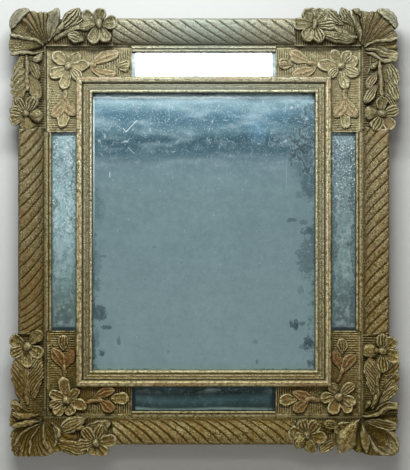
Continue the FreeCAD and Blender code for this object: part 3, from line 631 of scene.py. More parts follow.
# Inner mouldings, from the glass outwards: narrow lip, hollow with a faint ridge, quirk and broad bead
innerLook = {
    "stations": 420, "wobble": 0.2, "faceFrom": 29, "lipWide": 4, "beadFrom": 15, "boleRest": 0.06,
    "boleAt": [(13, 0.6), (19.5, 1.0)], "boleWide": 2.2, "boleWave": 31,
    "grey": {"top": 0.9, "right": 0.4, "bottom": 0.1, "left": 0.4},
    "bole": {"top": 0.6, "right": 0.8, "bottom": 0.9, "left": 0.6},
    "boleShift": {"top": 0.35, "right": 1.57, "bottom": 0.35, "left": 1.57},
    "worn": {"top": 0.2, "right": 1.0, "bottom": 0.75, "left": 0.8},
    "dusted": {"top": 0.1, "right": 0.1, "bottom": 0.2, "left": 0.05},
    "section": [
        (0.0, 16.0), (8.0, 16.0), (8.0, 20.0), (18.5, 20.0), (18.5, 28.0), (22.5, 28.0), (22.5, 32.0),
        (22.2, 33.4), (21.4, 34.6), (20.2, 35.4), (19.0, 35.7), (18.2, 35.5), (17.4, 35.7), (16.4, 35.6),
        (15.2, 35.0), (14.2, 33.8), (13.7, 32.2), (13.5, 29.8), (12.5, 29.6), (12.0, 30.8), (11.0, 30.9),
        (9.4, 30.1), (8.2, 30.1), (7.4, 30.7), (6.4, 30.2), (5.2, 29.9), (4.2, 30.1), (3.7, 31.2),
        (2.8, 31.8), (1.5, 31.8), (0.5, 31.2), (0.0, 29.8), (0.0, 22.0)],
    # Grime with painted shade at each point of the section, darkest in the quirks and at the back
    "grimyAndShaded": [
        0.5, 0.5, 0.5, 0.5, 0.5, 0.7, 0.6, 0.3, 0.1, 0.0, 0.0, 0.25, 0.0, 0.0, 0.1, 0.3, 0.5, 0.7, 0.7,
        0.3, 0.2, 0.3, 0.3, 0.1, 0.3, 0.4, 0.5, 0.2, 0.0, 0.0, 0.1, 0.6, 0.9]}


def innerMoulding(side, look):
    # The section carried along the side to its mitres, its face a little uneven
    turn, run = sides[side][:2]
    section = np.array(look["section"])
    offset, depth = section[None, :, 0], section[None, :, 1]
    share = np.linspace(-1, 1, look["stations"])[:, None]
    along = share * (run + offset)
    face = (depth > look["faceFrom"]) * 1.0
    depth = depth - np.abs(handWobble(along * 1.3 + 9 * offset, turn + 1.0, look["wobble"])) * face
    grimeAndShade = np.broadcast_to(np.array(look["grimyAndShaded"])[None, :], along.shape)
    bole = sum(most * np.exp(-((offset - at) / look["boleWide"]) ** 2) for at, most in look["boleAt"])
    patchy = 0.75 + 0.65 * np.sin(along / look["boleWave"] + look["boleShift"][side])
    bole = look["bole"][side] * bole * patchy + look["boleRest"] * (offset > look["lipWide"])
    # Paler beads: wear with painted highlights, set per side
    worn = look["worn"][side] * face * (grimeAndShade < 0.15) * (1 - 0.7 * np.minimum(bole, 1))
    # Grey is partly bare grey gesso on the bead; on the top moulding, strongest at the middle, it is a
    # painted glare of the light above
    grey = look["grey"][side] * np.where(offset < look["beadFrom"], 1.0, 0.5)
    grey = grey * (1 - 0.5 * easeStep(np.abs(share)))
    return shellOf(onSide(side, along, offset, depth), True, grimeAndShade, bole, worn, grey)


for side in sides:
    makePiece("inner_moulding_" + side, [innerMoulding(side, innerLook)], 0.0, innerLook["dusted"][side])
print("inner mouldings carved")

frontLimit = 57.6                                            # no carving stands further forward
# Leaves: one surface with many cuts. Each style changes what the plain leaf has.
leafStyles = {
    "plain": {
        "rows": 34, "cols": 25, "bulge": 0.6, "blunt": 0.6, "edge": 3.0, "soft": 2.6, "cup": 0.0,
        "rim": 0.0, "dirt": 0.2, "grooves": 0, "grooveDepth": 0.0, "stripe": 0.0, "pitch": 4.0,
        "slope": 1.0, "middle": 0.0, "tilt": 0.0, "arch": 0.0, "notches": 0, "notch": 0.0, "ragged": 0.0,
        "swing": 0.0, "worn": 0.2, "bole": 0.0, "grey": 0.0, "uneven": 0.035, "wobble": 0.22, "rimAt": 0.8,
        "rimWide": 0.15, "foot": 0.84},
    "ridge": {"bulge": 0.6, "blunt": 0.55, "edge": 4.5, "soft": 2.0, "arch": 1.5, "worn": 0.4},
    "satin": {
        "bulge": 0.68, "blunt": 0.5, "edge": 6.5, "soft": 2.2, "arch": 2.5, "grooves": 1,
        "grooveDepth": 0.5},
    "flap": {
        "bulge": 0.5, "blunt": 0.42, "edge": 3.0, "soft": 4.0, "tilt": 2.6, "grooves": 2,
        "grooveDepth": 0.6, "worn": 0.4, "notches": 4, "notch": 0.05, "grey": 0.35},
    "vein": {"bulge": 0.55, "blunt": 0.6, "edge": 3.5, "grooves": 3, "grooveDepth": 1.7, "arch": 1.0},
    "striped": {
        "rows": 84, "cols": 41, "edge": 3.2, "stripe": 1.8, "pitch": 9.0, "slope": 1.2, "arch": 1.0,
        "ragged": 0.16, "worn": 0.4},
    "blade": {
        "bulge": 0.6, "blunt": 0.6, "edge": 3.2, "soft": 3.0, "cup": 1.0, "rim": 1.0, "grooves": 3,
        "grooveDepth": 0.8, "arch": 1.0, "worn": 0.75, "dirt": 0.35},
    "curl": {
        "bulge": 0.62, "blunt": 0.5, "edge": 3.5, "soft": 3.0, "cup": 2.2, "rim": 1.6, "grooves": 2,
        "grooveDepth": 0.8, "notches": 3, "notch": 0.12, "worn": 0.8, "dirt": 0.4},
    "lip": {"bulge": 0.6, "blunt": 0.3, "edge": 4.0, "soft": 2.0, "worn": 0.9},
    "stem": {"bulge": 0.5, "blunt": 0.22, "edge": 4.0, "soft": 2.0, "worn": 0.6},
    "petal": {
        "bulge": 0.64, "blunt": 0.5, "edge": 2.6, "soft": 7.0, "cup": 3.0, "rim": 1.2, "middle": 0.9,
        "dirt": 0.15, "worn": 0.75},
    "sprig": {
        "edge": 2.6, "soft": 3.0, "cup": 0.9, "rim": 0.7, "dirt": 0.25, "grooves": 2, "grooveDepth": 0.5,
        "middle": 0.7, "worn": 0.3},
    "cut": {
        "bulge": 0.62, "blunt": 0.5, "edge": 3.2, "soft": 3.0, "grooves": 3, "grooveDepth": 1.1,
        "cup": 0.6, "rim": 0.5, "worn": 0.4},
    "ball": {
        "bulge": 0.6, "blunt": 0.48, "edge": 6.5, "soft": 2.0, "grooves": 2, "grooveDepth": 0.5,
        "arch": 1.0, "worn": 0.3},
    "bud": {
        "bulge": 0.55, "blunt": 0.48, "edge": 2.6, "soft": 5.0, "cup": 2.2, "rim": 1.0, "dirt": 0.2,
        "worn": 0.6}}


def leafShell(leaf, base, place, **change):
    # The middle line is a parabola from root to tip, plus a full sine where it swings. The half width along
    # it is a power of a sine. The face is the slope from root to tip plus arch, tilt, rim and middle rib,
    # less cup, cuts and a rounded edge, and its sides go down to the base. Ragged edges draw in at stripes.
    kind, rootP, rootQ, tipP, tipQ, half, bend, low, high = leaf[:9]
    style = {**leafStyles["plain"], **leafStyles[kind], **change, **(leaf[9] if len(leaf) > 9 else {})}
    u = 0.5 - 0.5 * np.cos(np.pi * np.linspace(0, 1, style["rows"])[:, None])
    v = np.sin(np.pi * np.linspace(-0.5, 0.5, style["cols"])[None, :])
    root, reach = np.array([rootP, rootQ], float), np.array([tipP - rootP, tipQ - rootQ], float)
    length = np.hypot(*reach)
    side = np.array([-reach[1], reach[0]]) / length
    turn = 2 * np.pi * u
    sideways = 4 * bend * u * (1 - u) + style["swing"] * np.sin(turn)
    middle = root + reach * u[..., None] + side * sideways[..., None]
    heading = reach + side * (4 * bend * (1 - 2 * u) + 2 * np.pi * style["swing"] * np.cos(turn))[..., None]
    normal = np.stack([-heading[..., 1], heading[..., 0]], -1)
    normal /= np.linalg.norm(heading, axis=-1, keepdims=True)
    seed = rootP + 2.3 * tipQ
    power = math.log(0.5) / math.log(style["bulge"])
    width = half * np.clip(np.sin(np.pi * u ** power), 0, 1) ** style["blunt"]
    width = width * (1 + style["uneven"] * np.sin(11 * u + seed))
    width = width * (1 - style["notch"] * (0.5 + 0.5 * np.cos(2 * np.pi * style["notches"] * u)))
    fade = np.clip(np.sin(np.pi * u), 0, 1) ** 0.4
    end = np.clip((u - 0.5) / 0.5, 0, 1)
    rim = np.minimum((np.abs(v) ** 6 + end ** 6) ** (1 / 6), 1)
    face = low + (high - low) * u + style["arch"] * np.sin(np.pi * u) + style["tilt"] * v * fade
    face = face - style["edge"] * (1 - np.sqrt(np.clip(1 - rim ** style["soft"], 0, 1)))
    face = face - style["cup"] * (1 - rim ** 3) * fade
    face = face + style["rim"] * np.exp(-((rim - style["rimAt"]) / style["rimWide"]) ** 2) * fade
    face = face + style["middle"] * np.exp(-(v / 0.15) ** 2) * fade
    groove = (0.5 + 0.5 * np.cos(np.pi * (style["grooves"] + 1) * (v + 1))) ** 4 * (np.abs(v) < 0.93) * fade
    slanted = style["slope"] * width
    sway = style["pitch"] * (0.16 * np.sin(6 * u + seed) + 0.12 * np.sin(4 * v + 2 * seed))
    phase = 2 * np.pi * (u * length + slanted * v * (0.8 + 0.2 * np.abs(v)) + sway) / style["pitch"]
    stripe = 0.8 * (0.5 + 0.5 * np.cos(phase)) ** 2 + 0.25 * (0.5 + 0.5 * np.cos(3 * phase + seed)) ** 2
    inside = fade * (1 - v ** 8) * (1 - np.exp(-(v / 0.12) ** 2) * (style["middle"] > 0))
    face = face - style["grooveDepth"] * groove - style["stripe"] * stripe * inside
    face = face + style["wobble"] * np.sin(9 * u + 3 * v + seed) * fade
    face = np.minimum(face, frontLimit)
    wallV = np.array([[1.0, style["foot"], -style["foot"], -1.0]])
    lower = np.broadcast_to(float(base), (style["rows"], 1))
    wall = np.concatenate([0.5 * (face[:, -1:] + base), lower, lower, 0.5 * (face[:, :1] + base)], 1)
    depth = np.concatenate([face, wall], 1)
    ragged = 1 - style["ragged"] * (0.5 + 0.5 * np.cos(phase)) * np.abs(v) ** 3 * fade
    sideRagged = np.concatenate([ragged[:, [-1, -1]], ragged[:, [0, 0]]], 1)
    spread = width * np.concatenate([v * ragged, wallV * sideRagged], 1)
    p = middle[..., 0] + normal[..., 0] * spread
    q = middle[..., 1] + normal[..., 1] * spread
    # Cuts, cupped hollows and the side walls are darkened: grime with painted shade
    cutGrimeAndShade = groove * min(style["grooveDepth"], 1) + stripe * inside * min(style["stripe"], 1)
    topGrimeAndShade = np.clip(0.8 * cutGrimeAndShade + style["dirt"] * (style["cup"] > 0) * (1 - rim ** 3), 0, 1)
    grimeAndShade = np.concatenate([topGrimeAndShade, np.broadcast_to([[0.7, 1.0, 1.0, 0.7]], wall.shape)], 1)
    worn = np.zeros(depth.shape)
    # Paler rims and tips: wear with painted highlights
    wearAndHighlight = 0.3 + 0.15 * end + 0.5 * np.exp(-((rim - style["rimAt"]) / 0.26) ** 2)
    worn[:, :style["cols"]] = style["worn"] * wearAndHighlight
    grey = np.zeros(depth.shape)
    grey[:, :style["cols"]] = style["grey"] * (1 - rim ** 5 * (style["cup"] > 0))
    return shellOf(place(p, q, depth), False, grimeAndShade, style["bole"], worn, grey)


# Fans of lobes, and what each may change
fanStyle = {"rows": 150, "cols": 26, "deep": 2.4, "lines": 0, "lineDepth": 0.5, "dirt": 0.42, "bole": 0.0,
            "lipWide": 0.16, "edge": 3.0, "wobble": 0.25}


def even(count):
    # Grooves at equal steps
    return tuple(np.linspace(0, 1, count + 1)[1:-1])


def fanShell(pivot, fan, base, place):
    # Rows turn about the pivot and each runs out to the outline. Between two grooves the face swells, or
    # sinks, as a power of a sine, with fine lines over it. An edge may be lifted, and rows swirl going out.
    start, end, startSwirl, endSwirl, outline, grooves, low, high, startLip, endLip = fan[:10]
    style = {**fanStyle, **(fan[10] if len(fan) > 10 else {})}
    share = np.linspace(0, 1, style["rows"])[:, None]
    out = np.sin(np.pi / 2 * np.linspace(0.04, 1, style["cols"]))[None, :]
    cuts = np.array([0.0, *grooves, 1.0])
    cuts = cuts + 0.012 * np.sin(37 * cuts) * (cuts > 0) * (cuts < 1)
    slot = np.clip(np.searchsorted(cuts, share, side="right") - 1, 0, len(cuts) - 2)
    within = (share - cuts[slot]) / (cuts[slot + 1] - cuts[slot])
    swell = np.clip(np.sin(np.pi * within), 0, 1) ** 0.55
    reach = np.interp(share, np.linspace(0, 1, len(outline)), outline) * (0.95 + 0.05 * swell)
    fine = 0.5 + 0.5 * np.cos(2 * np.pi * style["lines"] * share + 0.8 * np.sin(9 * share + start))
    face = low + (high - low) * out ** 1.4 - style["deep"] * (1 - swell) * out ** 0.5
    face = face - style["lineDepth"] * fine ** 2 * (style["lines"] > 0) * out
    lips = startLip * np.exp(-(share / style["lipWide"]) ** 2)
    lips = lips + endLip * np.exp(-((1 - share) / style["lipWide"]) ** 2)
    face = face + lips * out
    face = face - style["edge"] * (1 - np.sqrt(np.clip(1 - out ** 7, 0, 1)))
    face = face + style["wobble"] * np.sin(14 * share + 7 * out + start)
    face = np.minimum(face, frontLimit)
    under = np.array([[1.0, 0.92, 0.7, 0.45, 0.2, 0.04]])
    foot = np.full((len(share), 5), float(base))
    depth = np.concatenate([face, 0.5 * (face[:, -1:] + base), foot], 1)
    spread = np.concatenate([out, under], 1)
    swirl = startSwirl + (endSwirl - startSwirl) * share
    angle = np.radians(start + (end - start) * share + swirl * spread ** 1.5)
    p = pivot[0] + reach * spread * np.cos(angle)
    q = pivot[1] + reach * spread * np.sin(angle)
    # Darker in the cuts and towards the pivot: grime with painted shade; lifted lips and swollen ends paler:
    # wear with painted highlights
    grimeAndShade = np.ones(depth.shape)
    cut = (1 - swell) * (style["deep"] > 0) + 0.4 * fine ** 2 * (style["lines"] > 0)
    dirt = style["dirt"] + 0.9 * cut + 0.5 * (1 - out) ** 1.5 - 0.2 * out ** 6
    grimeAndShade[:, :style["cols"]] = np.clip(dirt, 0, 1)
    worn = np.zeros(depth.shape)
    worn[:, :style["cols"]] = 0.25 * swell * out ** 4 + 0.32 * lips * out ** 2
    return shellOf(place(p, q, depth), True, grimeAndShade, style["bole"], np.clip(worn, 0, 1))


def domeShell(centre, radii, base, top, place, bole, worn):
    # Half an ellipsoid on a short drum, closed at its foot
    turn = np.linspace(0, np.pi / 2, 12)[:, None]
    around = np.linspace(0, 2 * np.pi, 28, endpoint=False)[None, :]
    reach = np.concatenate([np.sin(turn), [[1.0], [0.0]]])
    depth = np.concatenate([base + (top - base) * np.cos(turn), [[base - 2.0], [base - 2.0]]])
    p = centre[0] + radii[0] * reach * np.cos(around)
    q = centre[1] + radii[1] * reach * np.sin(around)
    return shellOf(place(p, q, np.broadcast_to(depth, p.shape)), False, 0.0, bole, worn)


# Flowers: where petals start, and how far petals and boss lie behind or before the flower's face
flowerLook = {"hub": 2, "petalRoot": 2.0, "petalTip": 1.5, "bossFoot": 2.5, "bossTop": 4.5, "worn": 0.35}


def flowerShells(centre, petals, boss, base, face, place, bole=0.0):
    # Petals round a domed boss: each petal has its style, angle, reach and half width
    shells, look = [], flowerLook
    for kind, angle, reach, half in petals:
        c, s = math.cos(math.radians(angle)), math.sin(math.radians(angle))
        root = centre[0] + look["hub"] * c, centre[1] + look["hub"] * s
        tip = centre[0] + reach * c, centre[1] + reach * s
        leaf = (kind, *root, *tip, half, 0, face - look["petalRoot"], face + look["petalTip"])
        shells.append(leafShell(leaf, base, place, bole=bole))
    foot, top = face - look["bossFoot"], face + look["bossTop"]
    return shells + [domeShell(centre, boss, foot, top, place, bole, look["worn"])]


# Flat ribbed grounds: two arms that meet on the corner's diagonal
groundLook = {"ribPitch": 3.4, "ribHeight": 1.15, "rim": 2.6, "stations": 240, "across": 26}


def groundShells(place, width, lengths, low, top, drop, ribFrom, ribTo, dirt, look):
    # An arm is a grid of (across, along) from the diagonal to its end. Ribs are a cosine along it, and the
    # face falls by the drop towards the inner edge.
    shells = []
    across = np.concatenate([np.linspace(0, width, look["across"]), [width, 0.0]])[None, :]
    for arm, length in enumerate(lengths):
        share = np.linspace(0, 1, look["stations"])[:, None]
        along = across + (length - across) * share
        rib = 0.5 + 0.5 * np.cos(2 * np.pi * (along + 0.5 * np.sin(along / 9)) / look["ribPitch"])
        zone = easeStep((across - ribFrom) / 2) * easeStep((ribTo - across) / 2)
        rough = 1 + 0.4 * np.sin(along / 5 + across / 3)
        inner = easeStep((across / width - 0.3) / 0.7)
        depth = top - drop * inner - look["ribHeight"] * (1 - rib) * zone * rough
        depth = np.where(np.arange(across.shape[1])[None, :] < look["across"], depth, low)
        r, s = (along, across) if arm == 0 else (across, along)
        r, s = np.broadcast_arrays(r, s)
        # Darker in the rib valleys and towards the inner edge: grime with painted shade
        grimeAndShade = np.clip(0.45 * (1 - rib) * zone + dirt * (0.7 + 0.8 * inner), 0, 1)
        shells.append(shellOf(place(r, s, depth), True, grimeAndShade, 0.12, 0.2))
    return shells


# Corner panels: a flower on the corner and a sprig along each arm, in low relief on the ribbed ground.
# r and s run inwards from the panel's outer corner. Petals: style, angle, reach, half width.
# Leaves: style, root, tip, half width, bend.
panelLook = {
    "back": 20.0, "ground": 27.8, "root": 25.0, "low": 30.4, "high": 33.0, "flower": 32.4, "ribEnd": 5,
    "dirt": 0.3, "flowerBole": 0.4, "budBole": 0.2, "edge": 2.6, "middle": 0.7}
panelCarving = {
    "top_left": {
        "bole": 0.5, "dusted": 0.26, "boss": (5.2, 5.6), "centre": (31, 27),
        "petals": [
            ("petal", 221, 29, 9), ("petal", 309, 24, 8), ("bud", 355, 30, 7.5), ("cut", 47, 27, 8),
            ("petal", 104, 34, 8.5), ("petal", 152, 30, 9)],
        "leaves": [
            ("stem", 56, 26, 70, 25, 3.0, 0), ("sprig", 60, 24, 103, 8, 9, -2),
            ("sprig", 60, 28, 99, 38, 7.5, 4), ("cut", 97, 26, 118, 26, 8, 0),
            ("stem", 26, 60, 26, 76, 3.0, 0), ("sprig", 25, 70, 7, 98, 8.5, -3),
            ("sprig", 27, 69, 40, 96, 8.5, 3), ("bud", 24, 86, 22, 114, 9, 0)]},
    "top_right": {
        "bole": 0.5, "dusted": 0.26, "boss": (5.6, 5.2), "centre": (28, 27),
        "petals": [
            ("petal", 298, 26, 8.5), ("petal", 240, 25, 8), ("petal", 204, 27, 8), ("cut", 154, 28, 8.5),
            ("petal", 102, 33, 8), ("bud", 356, 34, 9), ("cut", 38, 23, 7)],
        "leaves": [
            ("sprig", 72, 22, 101, 7, 9.5, 0), ("sprig", 62, 26, 98, 38, 9, 4),
            ("stem", 58, 24, 76, 22, 3.0, 0), ("cut", 95, 24, 117, 23, 8, 0),
            ("stem", 22, 58, 22, 74, 3.4, 0), ("sprig", 22, 67, 39, 98, 9, 4),
            ("sprig", 21, 69, 4, 98, 9, -4), ("bud", 22, 88, 21, 115, 8, 0)]},
    "bottom_left": {
        "bole": 0.85, "dusted": 0.0, "boss": (6.0, 6.0), "centre": (28, 22),
        "petals": [
            ("petal", 154, 27, 7.5), ("cut", 200, 27, 8), ("petal", 231, 28, 8.5), ("petal", 290, 23, 8.5),
            ("bud", 341, 30, 8.5), ("sprig", 41, 24, 7), ("bud", 99, 34, 8.5)],
        "leaves": [
            ("stem", 54, 18, 80, 21, 3.0, 2), ("sprig", 64, 23, 96, 36, 7.5, 3),
            ("sprig", 74, 20, 93, 5, 8.5, 2), ("bud", 90, 25, 116, 24, 9, 0),
            ("stem", 25, 54, 25, 72, 3.0, 0), ("sprig", 24, 65, 6, 94, 8.5, -3),
            ("sprig", 26, 65, 40, 91, 8, 3), ("cut", 24, 92, 23, 114, 8, 0)]},
    "bottom_right": {
        "bole": 0.85, "dusted": 0.06, "boss": (6.2, 6.0), "centre": (31.5, 27),
        "petals": [
            ("cut", 139, 29, 8.5), ("petal", 202, 26, 8), ("petal", 231, 28, 8), ("bud", 292, 27, 9),
            ("petal", 355, 26, 8), ("petal", 60, 23, 7.5)],
        "leaves": [
            ("stem", 54, 22, 78, 24, 3.8, 0), ("sprig", 60, 22, 96, 35, 7.5, -2),
            ("sprig", 72, 22, 93, 4, 8.5, 2), ("bud", 90, 23, 116, 22, 8.5, 0),
            ("stem", 33, 46, 27, 70, 3.0, 2), ("sprig", 27, 61, 40, 92, 7.5, 2),
            ("sprig", 26, 60, 7, 86, 8.5, -3), ("cut", 26, 86, 26, 110, 8, 0)]}}


def panelShells(corner, carving, look):
    def groundPlace(r, s, depth):
        return atCorner(corner, -r, -s, depth)

    def place(r, s, depth):
        return groundPlace(*handCut(r, s, len(corner)), depth)

    lengths = (panelLength, panelLength)
    shells = groundShells(groundPlace, panelWidth, lengths, look["back"], look["ground"], 0.0,
                          groundLook["rim"], panelWidth - look["ribEnd"], look["dirt"], groundLook)
    centre, petals, boss = carving["centre"], carving["petals"], carving["boss"]
    flowerBole = look["flowerBole"] * carving["bole"]
    shells += flowerShells(centre, petals, boss, look["root"], look["flower"], place, flowerBole)
    for kind, rootR, rootS, tipR, tipS, half, bend in carving["leaves"]:
        bole = carving["bole"] if kind in ("sprig", "stem") else look["budBole"] * carving["bole"]
        leaf = (kind, rootR, rootS, tipR, tipS, half, bend, look["low"], look["high"])
        change = {"bole": bole, "edge": look["edge"], "middle": look["middle"]}
        shells.append(leafShell(leaf, look["root"], place, **change))
    return shells


for corner, carving in panelCarving.items():
    makePiece("corner_panel_" + corner, panelShells(corner, carving, panelLook), 0.0, carving["dusted"])
print("corner panels carved")

# Corner ornaments: a fan of lobes from the panel's corner, a leafy sprig and a flower along each arm.
# p and q run outwards from that corner. Leaves: style, root, tip, half width, bend, depth at root and tip.
ornamentLook = {
    "ground": 44.5, "armWidth": 35.0, "armAcross": 95.0, "armDown": 116.0, "start": 1.0, "face": 50.0,
    "drop": 6.5, "softP": 48, "maxP": 53.0, "softQ": 49, "maxQ": 55.0, "ribFrom": 3.0, "ribEnd": 0.5,
    "dirt": 0.45}
